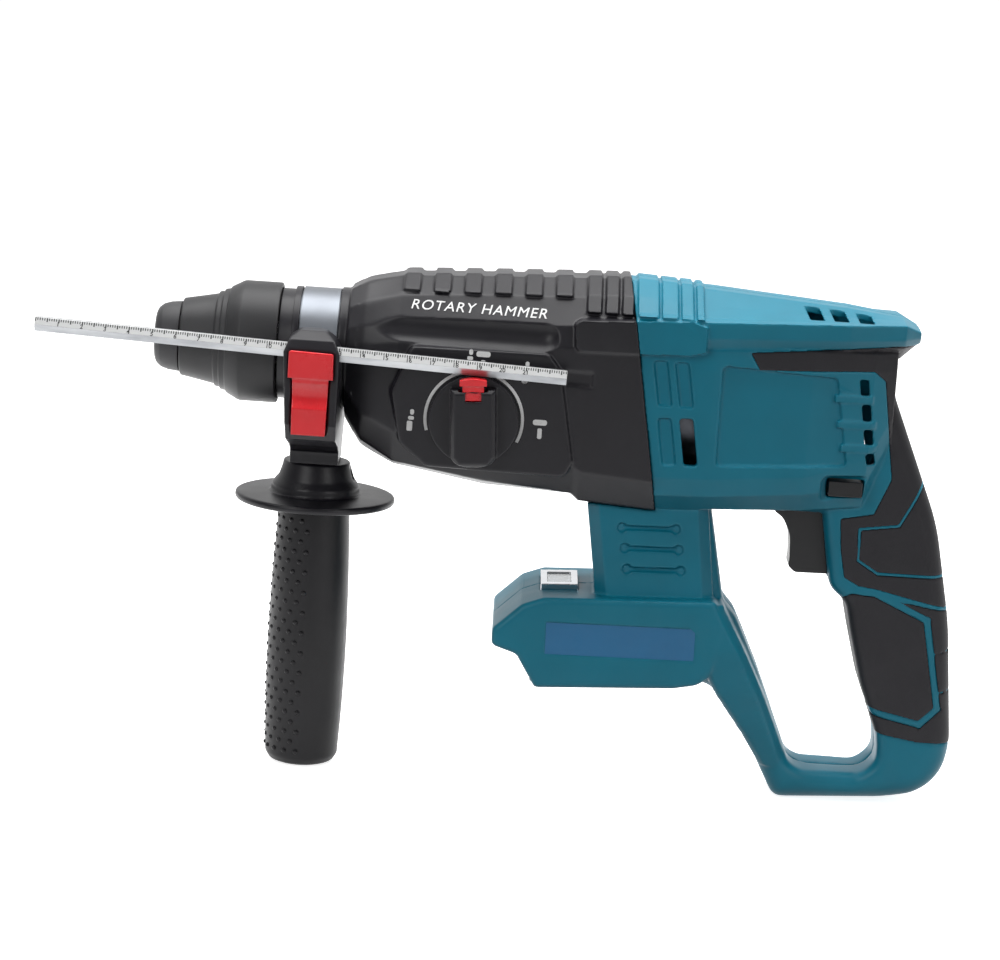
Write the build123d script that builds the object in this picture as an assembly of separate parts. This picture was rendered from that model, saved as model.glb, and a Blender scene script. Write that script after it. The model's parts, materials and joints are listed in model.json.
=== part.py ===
"""Cordless rotary hammer with side handle and depth gauge: one STEP file per separate piece.

Frame: millimetres. The origin is the mouth of the tool-holder bore, on the spindle axis.
-X points out of the nose, +X to the rear handle, +Z up. The mode dial is on the -Y side.
"""

import math
import os

from build123d import *

# ---- driving dimensions -------------------------------------------------------------------
WALL = 3.0              # moulded shell thickness
RUBBER = 1.5            # overmoulded grip thickness
FLOOR_Z = -188.5        # what the tool stands on: the grip's end and the rear handle's foot
SEAM_X_TOP = 205.0      # where gear housing and motor housing meet, at Z = SEAM_Z_TOP
SEAM_Z_TOP = 39.4
SEAM_LEAN = 9.6         # degrees that this joint leans back towards the bottom

SHAFT_Z = -33.0         # countershaft axis below the spindle axis
MOTOR_Z = -17.0         # motor axis
GEAR_MODULE = 1.2       # spindle pair
GEAR_TEETH = 43
PINION_TEETH = 12
FAST_MODULE = 0.8       # motor pair
FAST_GEAR_TEETH = 30
FAST_PINION_TEETH = 10
PRESSURE_ANGLE = 25.0
BACKLASH = 0.12         # share of the tooth pitch

TOOL_BORE_R = 5.05      # 10 mm shank holder
HOLDER_R = 9.4          # outside of the tool holder in the chuck
SLEEVE_R = 16.0         # outside of the spindle's rear sleeve
CYLINDER_R = 13.3       # bore that the piston runs in
PISTON_R = 13.25
BARREL_R = 24.0         # collar that the side handle clamps
RUN = 0.05              # radial running clearance

WOBBLE_X = 162.0        # plane of the wobble bearing and of the piston pin at mid stroke
GRIP_X = 72.0           # axis of the side grip
DIAL_X, DIAL_Z = 140.5, -21.5
DIAL_R = 19.3
DIAL_TILT = -3.6        # detent position of the dial, degrees from upright
GAUGE_Y = -45.0         # depth gauge rod
GAUGE_SLOPE = 2.1       # degrees that it falls towards the rear
GAUGE_FLATS = 6.0
GAUGE_ROLL = 30.0       # turns the rod so that two of its flats face up and down
GAUGE_FRONT, GAUGE_REAR = (-48.5, 8.4), (179.0, 0.06)
TRIGGER_SPRING_X = (297.5, 310.0)
TRIGGER_SPRING_Z = -72.0
SELECTOR = (303.7, -44.0)       # centre of the reversing bar, X and Z

os.makedirs("parts", exist_ok=True)
pieces = {}


# ---- helpers ------------------------------------------------------------------------------
def outline(points, radii=0.0):
    """A closed XZ wire at Y = 0, with rounded corners where radii says so."""
    corners = [(x, 0, z) for x, z in points]
    if not radii:
        return Polyline(*corners, close=True)
    return FilletPolyline(*corners, radius=radii, close=True)


def slab(points, y_low, y_high, radii=0.0, inset=0.0):
    """An XZ outline extruded from y_low to y_high."""
    face = make_face(outline(points, radii))
    if inset:
        face = offset(face, amount=-inset)
    return Pos(0, y_low, 0) * extrude(face, amount=y_high - y_low, dir=(0, 1, 0))


def block(x, y, z):
    """A box given by its (low, high) pairs."""
    return Pos(sum(x) / 2, sum(y) / 2, sum(z) / 2) * Box(x[1] - x[0], y[1] - y[0], z[1] - z[0])


def rod_x(x0, x1, r, y=0.0, z=0.0):
    """A solid cylinder along X."""
    return Pos((x0 + x1) / 2, y, z) * Rot(0, 90, 0) * Cylinder(r, x1 - x0)


def tube_x(x0, x1, r_out, r_in, y=0.0, z=0.0):
    """A hollow cylinder along X."""
    return rod_x(x0, x1, r_out, y, z) - rod_x(x0 - 1, x1 + 1, r_in, y, z)


def rod_y(y0, y1, r, x, z):
    """A solid cylinder along Y."""
    return Pos(x, (y0 + y1) / 2, z) * Rot(90, 0, 0) * Cylinder(r, y1 - y0)


def rod_z(z0, z1, r, x, y=0.0):
    """A solid cylinder along Z."""
    return Pos(x, y, (z0 + z1) / 2) * Cylinder(r, z1 - z0)


def turned_x(profile, z=0.0):
    """A profile of (x, radius) points turned about an axis along X."""
    face = make_face(Polyline(*[(x, 0, r) for x, r in profile], close=True))
    return Pos(0, 0, z) * revolve(face, Axis.X)


def turned_z(profile, x):
    """A profile of (radius, z) points turned about an axis along Z."""
    face = make_face(Polyline(*[(r, 0, z) for r, z in profile], close=True))
    return Pos(x, 0, 0) * revolve(face, Axis.Z)


def mirrored_section(x, half):
    """A closed YZ face at x from the points of its +Y half, top first."""
    points = list(half) + [(-y, z) for y, z in reversed(half)]
    return make_face(Polyline(*[(x, y, z) for y, z in points], close=True))


def shrink(half, inset):
    """Moves a half section's points inwards by about inset."""
    z_mid = (half[0][1] + half[-1][1]) / 2
    z_half = (half[0][1] - half[-1][1]) / 2
    y_half = max(y for y, _ in half)
    return [
        (y * (1 - inset / y_half), z_mid + (z - z_mid) * (1 - inset / z_half))
        for y, z in half
    ]


def ruled(sections, inset=0.0):
    """A faceted body through mirrored half sections, given as (x, points)."""
    faces = [mirrored_section(x, shrink(half, inset) if inset else half) for x, half in sections]
    return loft(faces, ruled=True)


def joined(*shapes):
    """One shape from several, in one operation."""
    return shapes[0] + list(shapes[1:]) if len(shapes) > 1 else shapes[0]


def sides(low, high):
    """The (low, high) Y pairs of a feature that both sides have, mirrored."""
    return [(low, high), (-high, -low)]


def seam_cut(behind, gap=0.0):
    """A large block on one side of the leaning joint between the two housings."""
    size = 400.0
    shift = size / 2 + gap if behind else -size / 2 - gap
    return Pos(SEAM_X_TOP, 0, SEAM_Z_TOP) * Rot(0, -SEAM_LEAN, 0) * Pos(shift, 0, 0) * Box(size, size, size)


def coil(mean_r, wire_r, length, turns):
    """A helical spring from Z = 0 to length, inside those ends."""
    path = Helix(pitch=(length - 2 * wire_r) / turns, height=length - 2 * wire_r, radius=mean_r)
    profile = Plane(origin=path @ 0, z_dir=path % 0) * Circle(wire_r)
    return Pos(0, 0, wire_r) * sweep(profile, path=path, is_frenet=True)


def spur_gear(teeth, module, x0, x1, bore_r, z, first_tooth):
    """An involute spur gear about an axis along X. first_tooth is one tooth's angle from +Y to +Z."""
    pressure = math.radians(PRESSURE_ANGLE)
    pitch_r = teeth * module / 2
    base_r = pitch_r * math.cos(pressure)
    tip_r, root_r = pitch_r + 0.85 * module, pitch_r - 1.2 * module
    half_pitch_tooth = math.pi / (2 * teeth) * (1 - 2 * BACKLASH)

    def half_angle(r):
        lean = math.acos(min(1.0, base_r / r))
        return half_pitch_tooth + math.tan(pressure) - pressure - (math.tan(lean) - lean)

    start_r = max(base_r, root_r)
    radii = [start_r + (tip_r - start_r) * i / 3 for i in range(4)]
    points = []
    for tooth in range(teeth):
        middle = math.radians(first_tooth) + 2 * math.pi * tooth / teeth
        flank = [(root_r, -half_angle(start_r))] + [(r, -half_angle(r)) for r in radii]
        flank += [(r, -a) for r, a in reversed(flank)]
        points += [(r * math.cos(middle + a), r * math.sin(middle + a)) for r, a in flank]
    clean = [p for i, p in enumerate(points) if math.dist(p, points[i - 1]) > 1e-4]
    face = make_face(Polyline(*[(x0, y, z + h) for y, h in clean], close=True))
    gear = extrude(face, amount=x1 - x0, dir=(1, 0, 0))
    return gear - rod_x(x0 - 1, x1 + 1, bore_r, z=z)


def ball_bearing(x0, x1, r_in, r_out, z=0.0, balls=9):
    """Inner race, outer race and balls as separate solids."""
    middle, ball_r = (r_in + r_out) / 2, (r_out - r_in) * 0.26
    inner = tube_x(x0, x1, middle - ball_r * 0.6, r_in, z=z)
    outer = tube_x(x0, x1, r_out, middle + ball_r * 0.6, z=z)
    groove = Pos((x0 + x1) / 2, 0, z) * Rot(0, 90, 0) * Torus(middle, ball_r + 0.02)
    solids = [inner - groove, outer - groove]
    for i in range(balls):
        angle = 2 * math.pi * i / balls
        place = Pos((x0 + x1) / 2, middle * math.cos(angle), z + middle * math.sin(angle))
        solids.append(place * Sphere(ball_r))
    return solids


def keep(name, shape):
    """Records a piece. A list is a group of separate solids."""
    if not isinstance(shape, (list, tuple)):
        shape = [shape]
    solids = [solid for part in shape for solid in part.solids()]
    pieces[name] = solids[0] if len(solids) == 1 else Compound(solids)


# ---- outer forms ---------------------------------------------------------------------------
# Half sections are (Y, Z) points: top flat, flank, shoulder, side top, side bottom, chamfer, base.
GEAR_SECTIONS = [
    (83.5, [(9, 27.0), (20, 20.5), (26.5, 12), (28.5, 4), (28.5, -14), (21, -24.5), (9, -29.5)]),
    (91.0, [(9, 31.5), (22, 24.0), (29.5, 14), (31.5, 6), (31.5, -23), (24, -36), (9, -41.5)]),
    (106.0, [(9, 34.6), (23, 28.0), (32.5, 17), (35.0, 9), (35.0, -30), (26, -44.5), (9, -49.0)]),
    (146.0, [(9, 36.8), (23, 30.5), (34.0, 19), (37.5, 11), (37.5, -37), (28, -50.5), (9, -55.5)]),
    (184.5, [(9, 38.6), (23, 32.0), (34.5, 21), (38.0, 12), (38.0, -40), (29, -53), (9, -57.0)]),
    (188.0, [(9, 38.8), (23, 32.2), (34.7, 21), (38.2, 12), (38.2, -42), (29, -56), (9, -60.0)]),
    (228.0, [(9, 40.2), (23, 33.5), (35.0, 22), (38.5, 13), (38.5, -45), (29, -58.5), (9, -62.5)]),
]

# The roof runs back to the tail tip; the trunk below it ends at the rear handle.
ROOF_SECTIONS = [
    (200.0, [(9, 39.3), (23, 33.2), (33.5, 27), (37.5, 26), (37.5, 18.6), (35.5, 12), (9, 5)]),
    (242.0, [(9, 37.2), (22, 31.5), (32.0, 27.5), (36.5, 26.8), (36.5, 19.6), (33.5, 14.6), (9, 8)]),
    (300.0, [(8, 33.0), (18, 30.2), (26.5, 29.0), (31.0, 28.6), (31.0, 21.8), (28.0, 17.4), (8, 10)]),
    (324.5, [(6, 30.0), (13, 29.6), (20.0, 29.2), (24.0, 29.0), (24.0, 22.6), (21.0, 18.6), (6, 12)]),
    (332.0, [(5, 26.2), (9, 25.9), (13.0, 25.6), (16.0, 25.4), (16.0, 22.8), (14.0, 20.6), (5, 19)]),
]
TRUNK_SECTIONS = [
    (200.0, [(28, 20), (36.5, 12), (37.2, 4), (37.2, -43), (34.5, -51), (28, -58.0), (9, -59.0)]),
    (242.0, [(27, 20), (34.6, 14), (35.6, 6), (35.6, -42), (33.0, -50), (26, -57.0), (9, -57.5)]),
    (285.0, [(24, 22), (31.0, 16), (31.8, 8), (31.8, -39), (29.5, -47), (22, -55.5), (9, -56.5)]),
    (312.0, [(19, 22), (25.5, 16), (26.4, 8), (26.4, -30), (24.0, -42), (18, -53.0), (8, -56.5)]),
    (322.5, [(14, 22), (18.5, 16), (19.4, 8), (19.4, -12), (18.0, -22), (14, -34.0), (8, -42.0)]),
]

# Rear frame: back of the handle, foot, strut, with the hand opening cut from it.
FRAME_OUTLINE = [
    (236, 10), (236, -137), (251, -138.5), (259.5, -145), (265, -152), (284.5, FLOOR_Z), (332, -185.6),
    (358, -181), (361.4, -158), (356, -104), (347, -60), (323.5, -4), (321, 16), (300, 20),
]
FRAME_RADII = [1, 3, 12, 6, 12, 6, 40, 23, 40, 150, 100, 22, 3, 1]
HAND_OUTLINE = [
    (247, -57.5), (255.5, -100), (262, -107), (274, -132), (290.5, -172), (297, -174.5), (322, -174.5),
    (329, -168), (328, -156), (318.8, -133), (312.8, -111), (309.5, -97), (301.5, -90), (296, -57.5),
]
HAND_RADII = [2, 10, 12, 60, 9, 6, 9, 9, 30, 60, 40, 10, 10, 2]
HANDLE_HALF = 17.5
FRAME_ROUND, HAND_ROUND = 8.5, 5.5

BASE_OUTLINE = [
    (154.3, -115.0), (166.5, -103.4), (176, -99.8), (251, -96.6), (256.5, -108), (251, -134),
    (235, -137), (174.5, -140.5), (165.5, -126), (154.3, -122.5),
]
BASE_RADII = [3, 6, 6, 3, 8, 12, 6, 2.5, 4, 3]
BASE_ROUND = 2.6
BASE_HALF = 33.0
BAY_HALF = BASE_HALF - 3.8
COLUMN_OUTLINE = [(191, -50), (199.2, -104), (251.2, -104), (244.5, -50)]
COLUMN_HALF = 25.5
COLUMN_CHAMFER = 5.0
COLUMN_GAP = 0.3        # between the column's front and the gear housing


def handle_frame(inset=0.0):
    """The rear frame around the hand opening, with rounded edges."""
    half = HANDLE_HALF - inset
    frame = slab(FRAME_OUTLINE, -half, half, FRAME_RADII, inset)
    flat = [edge for edge in frame.edges() if abs(abs(edge.center().Y) - half) < 1e-3 and edge.center().Z < 8]
    frame = fillet(flat, FRAME_ROUND - inset)
    frame -= slab(HAND_OUTLINE, -half - 1, half + 1, HAND_RADII, -inset)
    grown = offset(make_face(outline(HAND_OUTLINE, HAND_RADII)), amount=inset + 0.1)
    rim = [
        edge for edge in frame.edges()
        if abs(abs(edge.center().Y) - half) < 1e-3
        and grown.distance_to(Vector(edge.center().X, 0, edge.center().Z)) < 0.01
    ]
    return fillet(rim, HAND_ROUND - inset)


STRUT_SECTIONS = [      # z, front x, rear x, half width
    (-98.5, 238.0, 254.5, BASE_HALF - 0.3), (-120.0, 243.0, 266.5, BASE_HALF - 0.6),
        (-139.0, 254.0, 276.0, 29.0),
    (-158.0, 267.5, 284.2, 23.0), (-173.0, 277.0, 290.0, HANDLE_HALF)]


def wide_strut(inset=0.0):
    """The wedge that narrows from the battery base to the foot, with bevelled edges."""
    faces = []
    for z, x0, x1, wide in STRUT_SECTIONS:
        half, front, rear = wide - inset, x0 + inset, x1 - inset
        corners = [(front, half - 2.5), (front + 2.5, half), (rear - 4, half), (rear, half - 5)]
        corners += [(x, -y) for x, y in reversed(corners)]
        faces.append(make_face(Polyline(*[(x, y, z) for x, y in corners], close=True)))
    return loft(faces, ruled=True)


def base_block(inset=0.0):
    """The battery base, with rounded long edges."""
    half = BASE_HALF - inset
    core = slab(BASE_OUTLINE, -half, half, BASE_RADII, inset)
    return fillet([edge for edge in core.edges() if abs(abs(edge.center().Y) - half) < 1e-3],
        BASE_ROUND - inset * 0.3)


def motor_body(inset=0.0):
    """The whole moulding behind the gear housing, without its hollows."""
    column = slab(COLUMN_OUTLINE, -COLUMN_HALF + inset, COLUMN_HALF - inset, 0, inset * 0.9)
    column = chamfer(column.edges().filter_by(lambda edge: abs(edge.tangent_at(0.5).Z) > 0.9),
        COLUMN_CHAMFER - inset)
    gap = COLUMN_GAP + inset
    column -= ruled(GEAR_SECTIONS, -gap) & seam_cut(False, -gap)
    trunk = joined(ruled(ROOF_SECTIONS, inset), ruled(TRUNK_SECTIONS, inset)) & seam_cut(True, -inset)
    return joined(trunk, handle_frame(inset), column, base_block(inset), wide_strut(inset))


# ---- motor housing: two shells ---------------------------------------------------------------
RUBBER_SPEAR = [(257.5, 14.2), (262, 7.0), (312, 8.4), (317.5, 4), (324.5, -40), (318, -56), (303.5, -59.0),
                (303.8, -67), (307.4, -85), (314, -88.5), (322, -89.5), (338, -93), (352, -96), (372, -98),
                (372, 19.5), (322, 19.5)]
RUBBER_LOW = [(306, -95.5), (314, -90.5), (322, -92.5), (372, -101), (372, -158), (345, -157.5),
    (326, -154.5)]
# Ribs of the moulding that show between the rubber fields, as centre lines.
RUBBER_RIBS = [
    ([(341.5, -37), (329.5, -60.5), (312.5, -63), (312.8, -77), (322, -82.5), (362, -82.5)], 1.2),
    ([(304, -90), (322, -91.5), (345.5, -102), (353.5, -142), (346, -149.5), (322, -144.5)], 3.0),
    ([(349, -117.5), (356, -116), (364, -111)], 0.9),
    ([(352, -135), (358, -134), (366, -129.5)], 0.9),
]


def strip(points, width, half_depth=60.0):
    """A band of that width along a polyline in XZ, deep in Y."""
    shapes = []
    for (x0, z0), (x1, z1) in zip(points, points[1:]):
        length, angle = math.dist((x0, z0), (x1, z1)), math.degrees(math.atan2(z1 - z0, x1 - x0))
        bar = Box(length + width, 2 * half_depth, width)
        shapes.append(Pos((x0 + x1) / 2, 0, (z0 + z1) / 2) * Rot(0, -angle, 0) * bar)
    return joined(*shapes)


# Air openings of one side, as XZ corners or centres.
LOUVRES = [  # x at the top, top z, bottom z, Y where the louvre's floor is
    (216.0, 8.6, -11.0, 34.7), (225.2, 8.4, -11.2, 34.2), (219.4, -16.2, -36.8, 34.7),
        (228.8, -16.0, -36.6, 18.0)]
REAR_SLOTS = [(307.8, 4.8, -3.5), (309.6, -6.2, -14.6), (311.3, -17.2, -25.3), (312.8, -27.8, -33.0)]
REAR_BARS = [(295.5, -3.9), (297.5, -15.1), (299.5, -25.5)]
ROOF_SLOTS = [(283.5, 32.4), (294.5, 31.6), (306.0, 30.6)]
COLUMN_SLOTS = [(208.1, -67.6), (210.0, -76.7), (211.6, -86.0)]
COLUMN_SLOT_LENGTH, COLUMN_SLOT_FLOOR = 23.3, COLUMN_HALF - 2.0
RIB_PROUD = 1.3         # how far the ribs over the top stand up
WALL_FOOT_Z = -65.5       # where the ribs round the motor end, above the controller
ROOF_RIBS = [(208.0, 216.8), (218.4, 225.2), (226.8, 231.8), (233.4, 236.4)]
BAY_ROOF = [(167, -119.5), (246, -116.5)]
BADGE = Pos(210.5, 0, -117) * Rot(0, -1.0, 0)
POCKET_FLOOR = 23.6      # Y of the floor round the reversing bar
SCREWS = [  # x, z and the Y of the head's outer face
    (229.0, -49.0, 29.0), (252.0, 22.0, 30.0), (264.0, -49.0, 26.0), (300.0, 14.0, 22.0),
        (342.0, -108.0, 13.5),
    (345.0, -170.0, 13.5), (301.0, -181.2, 13.5), (167.0, -109.0, 29.0), (250.5, -112.0, 29.0)]


LAMP = Pos(182.8, 0, -99.4) * Rot(0, -3, 0)
LAMP_LENGTH, LAMP_WIDTH, LAMP_HEIGHT = 16.4, 29.0, 4.8
LENS_LENGTH, LENS_WIDTH = 10.4, 20.0
LAMP_FIT = 0.2


def left_of_seam():
    """The half of space that the left shell is in."""
    return block((100, 400), (-80, 0), (-250, 80))


def roof_ribs():
    """Low bands across the roof behind the gear housing."""
    proud = ruled([(x, [(y * 1.045, z + RIB_PROUD) for y, z in half]) for x, half in ROOF_SECTIONS])
    return proud & joined(*[block(pair, (-60, 0), (27.5, 60)) for pair in ROOF_RIBS])


def inner_walls(hollow):
    """Ribs that seat the stator and the rear bearing, and the screw bosses, all inside the hollow."""
    walls = [block((222, 224.5), (-50, 0), (WALL_FOOT_Z, 40)),
        block((247.5, 250), (-50, 0), (WALL_FOOT_Z, 40))]
    seats = joined(*walls) - [rod_x(180, 300, 25.0, z=MOTOR_Z), block((180, 300), (-9, 9), (-70, -30))]
    bearing = block((264, 270), (-50, 0), (-70, 40)) - [
        rod_x(260, 275, 11.0, z=MOTOR_Z), block((180, 300), (-9, 9), (-70, -34))]
    bosses = [rod_y(-40, 0, 4.0, x, z) for x, z, _ in SCREWS]
    behind_bar = block((SELECTOR[0] - 13, SELECTOR[0] + 13), (-40, -20.5), (SELECTOR[1] - 8, SELECTOR[1] + 8))
    behind_slots = block((200, 242), (-40, -COLUMN_HALF + 4.5), (-90, -59))
    under_lamp = block((172, 194), (-18, 0), (-107, -98))
    thick = joined(block((212, 241), (-60, 0), (-40, 12)), block((244, 304), (-60, 0), (-38, 10)))
    thick -= ruled(TRUNK_SECTIONS, WALL + 2.0)
    return hollow & joined(seats, bearing, *bosses, behind_bar, behind_slots, under_lamp, *thick.solids())


def air_openings():
    """Louvres, slots and recesses of the left side."""
    cuts = []
    for x, top, bottom, floor in LOUVRES:
        cuts.append(slab([(x, top), (x + 6, top), (x + 9.4, bottom), (x + 3.4, bottom)], -60, -floor, 1.2))
    for x, top, bottom in REAR_SLOTS:
        cuts.append(slab([(x - 2.1, top), (x + 1.9, top), (x + 3.2, bottom), (x - 0.8, bottom)], -60, -18))
    for x, z in ROOF_SLOTS:
        cuts.append(slab([(x - 3.6, z + 1.9), (x + 2.6, z + 1.7), (x + 5.8, z - 4.6), (x - 0.4, z - 4.4)],
            -25, -11.5))
    for x, z in COLUMN_SLOTS:
        end_x, end_z = x + COLUMN_SLOT_LENGTH, z + 0.7
        floor = -COLUMN_SLOT_FLOOR
        cuts.append(slab([(x, z + 1.0), (end_x, end_z + 1.0), (end_x, end_z - 1.0), (x, z - 1.0)], -60,
            floor))
        cuts += [rod_y(-60, floor - 0.6, 2.2, x, z), rod_y(-60, floor - 0.6, 2.2, end_x, end_z)]
    return cuts


def rubber_field():
    """The XZ regions that the grip rubber covers, without the ribs that show between them."""
    x, z = SELECTOR
    ribs = [strip(points, width) for points, width in RUBBER_RIBS]
    around_bar = block((x - 12, x + 11.5), (-60, 60), (z - 7, z + 7))
    trigger_side = slab([(280, -56), (303.4, -56), (307, -95), (280, -95)], -60, 60)
    return joined(slab(RUBBER_SPEAR, -60, 60), slab(RUBBER_LOW, -60, 60)) - [*ribs, around_bar, trigger_side]


def make_motor_housing():
    """Both clamshells and their rubber, as mirror images but for the screw holes."""
    half = left_of_seam()
    outer = motor_body() & half
    hollow = motor_body(WALL) & half
    skin = (outer - (motor_body(RUBBER) & half)) & rubber_field()
    rubber = [piece for piece in skin.solids() if piece.volume > 60]

    shoulder = [(200, 25.2), (232, 26.6), (238, 24.5), (238, 13.5), (231, 11.8), (200, 10.8)]
    rail = [(172, -133.5), (246, -130), (246, -134), (172, -138)]
    (x0, z0), (x1, z1) = BAY_ROOF
    bay = slab([(150, z0 - 3.5), (x0, z0), (x1, z1), (x1, -150), (150, -150)], -BAY_HALF, 1)
    well = slab([(270, -57.5), (286, -56), (286, -50), (306, -50), (315, -92), (288, -92), (284, -60)],
        -8.2, 1)
    x, z = SELECTOR
    window = block((x - 8.2, x + 8.2), (-60, 1), (z - 4.2, z + 4.2))
    bar_pocket = slab([(x - 11, z - 6), (x + 11, z - 6), (x + 11, z + 6), (x - 11, z + 6)], -60,
        -POCKET_FLOOR, 3)
    motor_field = slab([(246, 8), (296, 5), (303, -33.5), (246, -36)], -60, -20, 2) - ruled(TRUNK_SECTIONS,
        1.9)
    lamp_seat = LAMP * Box(LAMP_LENGTH + LAMP_FIT, LAMP_WIDTH + LAMP_FIT, LAMP_HEIGHT + LAMP_FIT)
    badge = BADGE * block((-33, 33), (-60, -BASE_HALF + 0.8), (-7.5, 7.5))

    shell = joined(outer - hollow, (roof_ribs() - hollow) & seam_cut(True),
                   slab(shoulder, -39.0, -33.5) & seam_cut(True), inner_walls(hollow))
    shell -= [bay, well, window, bar_pocket, motor_field, badge, lamp_seat, *air_openings(), *rubber]
    bars = [block((x0, x0 + 17), (-34, -24), (z0 - 1.5, z0 + 1.5)) for x0, z0 in REAR_BARS]
    shell = joined(shell, slab([BAY_ROOF[0], BAY_ROOF[1], (246, -113.5), (167, -116.5)], -BAY_HALF - 0.5, 0),
                   slab(rail, -BAY_HALF - 0.5, -BAY_HALF + 4.0), joined(*bars) & ruled(TRUNK_SECTIONS, -0.6))
    shell = sorted(shell.solids(), key=lambda solid: solid.volume)[-1]
    other = mirror(shell, about=Plane.XZ)
    keep("left_motor_housing", shell - [rod_y(-11, 1, 1.9, x, z) for x, z, _ in SCREWS])
    keep("right_motor_housing", other - [rod_y(-1, 80, 2.1, x, z) for x, z, _ in SCREWS]
         - [rod_y(head - 3.2, 80, 3.9, x, z) for x, z, head in SCREWS])
    keep("left_grip_rubber", rubber)
    keep("right_grip_rubber", [mirror(piece, about=Plane.XZ) for piece in rubber])


make_motor_housing()


# ---- gear housing -----------------------------------------------------------------------------
DIAL_FIELD = [(112, 8.6), (171, 8.6), (176.5, 2), (184, -38), (181, -44.5), (121, -43.5), (109, -34),
    (104, -12)]
TOP_SHOULDER = [(181.5, 22.5), (184, 24.0), (232, 26.6), (232, 11.8), (184, 10.8), (182, 13)]
FLUTE_ENDS, FLUTE_Z, FLUTE_R = [(92.0, 39.2), (168.0, 42.4)], 17.5, 9.4     # each end as X and Y
FLUTE_WALL = 2.2
ROD_RECESS = [(178.5, -4.4), (190.5, -4.8), (190.5, 1.8), (178.5, 2.2)]
RIB_FIRST, RIB_PITCH, RIB_WIDTH = 106.6, 13.2, 7.0
FULL_RIBS = [(186.2, 192.2), (194.2, 199.6), (201.4, 206.0)]
SHAFT_SEAT = (100.0, 105.6)


def flutes(grow=0.0):
    """The round-ended grooves along both flanks."""
    (x0, y0), (x1, y1) = FLUTE_ENDS
    length, lean = math.dist(*FLUTE_ENDS), math.degrees(math.atan2(y1 - y0, x1 - x0))
    shapes = []
    for side in (-1, 1):
        middle = Pos((x0 + x1) / 2, side * (y0 + y1) / 2, FLUTE_Z) * Rot(0, 0, side * lean)
        shapes.append(middle * Rot(0, 90, 0) * Cylinder(FLUTE_R + grow, length))
        shapes += [Pos(x, side * y, FLUTE_Z) * Sphere(FLUTE_R + grow) for x, y in FLUTE_ENDS]
    return shapes


def make_gear_housing():
    """One moulding: gear case with the dial field, ribs over the top and an open rear."""
    outer = ruled(GEAR_SECTIONS) & seam_cut(False)
    inner = (ruled(GEAR_SECTIONS, WALL) & block((88.0, 300), (-60, 60), (-80, 60))) - flutes(FLUTE_WALL)
    proud = ruled([(x, [(y * 1.05, z + RIB_PROUD) for y, z in half]) for x,
        half in GEAR_SECTIONS]) & seam_cut(False)
    bands = [block((RIB_FIRST + RIB_PITCH * k, RIB_FIRST + RIB_PITCH * k + RIB_WIDTH), (-50, 50),
        (30.2 + 0.35 * k, 60))
             for k in range(6)]
    bands += [block(pair, (-50, 50), (26.8, 60)) for pair in FULL_RIBS]
    fields = [slab(DIAL_FIELD, *pair, 4) for pair in sides(30.0, 39.5)]
    shoulders = [slab(TOP_SHOULDER, *pair) & seam_cut(False) for pair in sides(30.0, 39.0)]
    case = joined(outer, rod_x(79.2, 86, 26.3), *fields) - [*flutes(), slab(ROD_RECESS, -60, -37.2)]
    case = joined(case, *shoulders, *[proud & band for band in bands]) - [inner, rod_x(60, 120, BARREL_R)]
    seat = (inner & block(SHAFT_SEAT, (-60, 60), (-60, 40))) - [
        rod_x(90, 110, BARREL_R), rod_x(90, 110, 7.2, z=SHAFT_Z)]
    case = joined(case, *seat.solids()) - rod_y(-60, -20, 7.3, DIAL_X, DIAL_Z)
    keep("gear_housing", sorted(case.solids(), key=lambda solid: solid.volume)[-1])


make_gear_housing()

keep("barrel_collar", turned_x([(60.2, 19.05), (60.2, BARREL_R - 0.6), (60.8, BARREL_R), (96, BARREL_R),
    (96, 19.05)]))
keep("dust_ring", turned_x([
    (53.2, 22.2), (53.2, 23.9), (53.5, 24.2), (59.2, 24.2), (59.2, 25.5), (62.0, 25.5), (62.0, 24.1),
    (60.1, 24.1), (60.1, 12.8), (57.6, 12.8), (57.6, 22.2)]))
bracket = ruled(GEAR_SECTIONS, WALL + 0.1) & block((140, 146), (-60, 60), (-30, 60))
bracket -= [*flutes(FLUTE_WALL + 0.1), rod_x(130, 150, 19.05), rod_x(130, 150, 11.0, z=SHAFT_Z),
    block((130, 150), (-60, -6), (-70, -22.4)),
            block((130, 150), (-60, -21.2), (-40, -8))]
keep("cylinder_bracket", sorted(bracket.solids(), key=lambda s: s.volume)[-1])
plate = ruled(GEAR_SECTIONS, WALL + 0.1) & block((193.5, 199.5), (-60, 60), (-56, 36))
plate -= [rod_x(190, 196.5, 8.0, z=SHAFT_Z), rod_x(190, 204, 7.0, z=MOTOR_Z)]
keep("gear_case_plate", sorted(plate.solids(), key=lambda s: s.volume)[-1])

# ---- bearings ----------------------------------------------------------------------------------
keep("spindle_front_bearing", ball_bearing(63, 72, 12.5, 19.0, balls=11))
keep("spindle_rear_bush", tube_x(138.5, 147.5, 19.0, SLEEVE_R + RUN))
keep("countershaft_bearings", ball_bearing(100.6, 105.6, 3.5, 7.2, SHAFT_Z, 7)
     + ball_bearing(193.5, 196.5, 3.5, 8.0, SHAFT_Z, 7))
keep("motor_bearings", ball_bearing(193.6, 199.4, 3.0, 7.0, MOTOR_Z, 7)
     + ball_bearing(264, 270, 3.0, 11.0, MOTOR_Z, 7))

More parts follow.
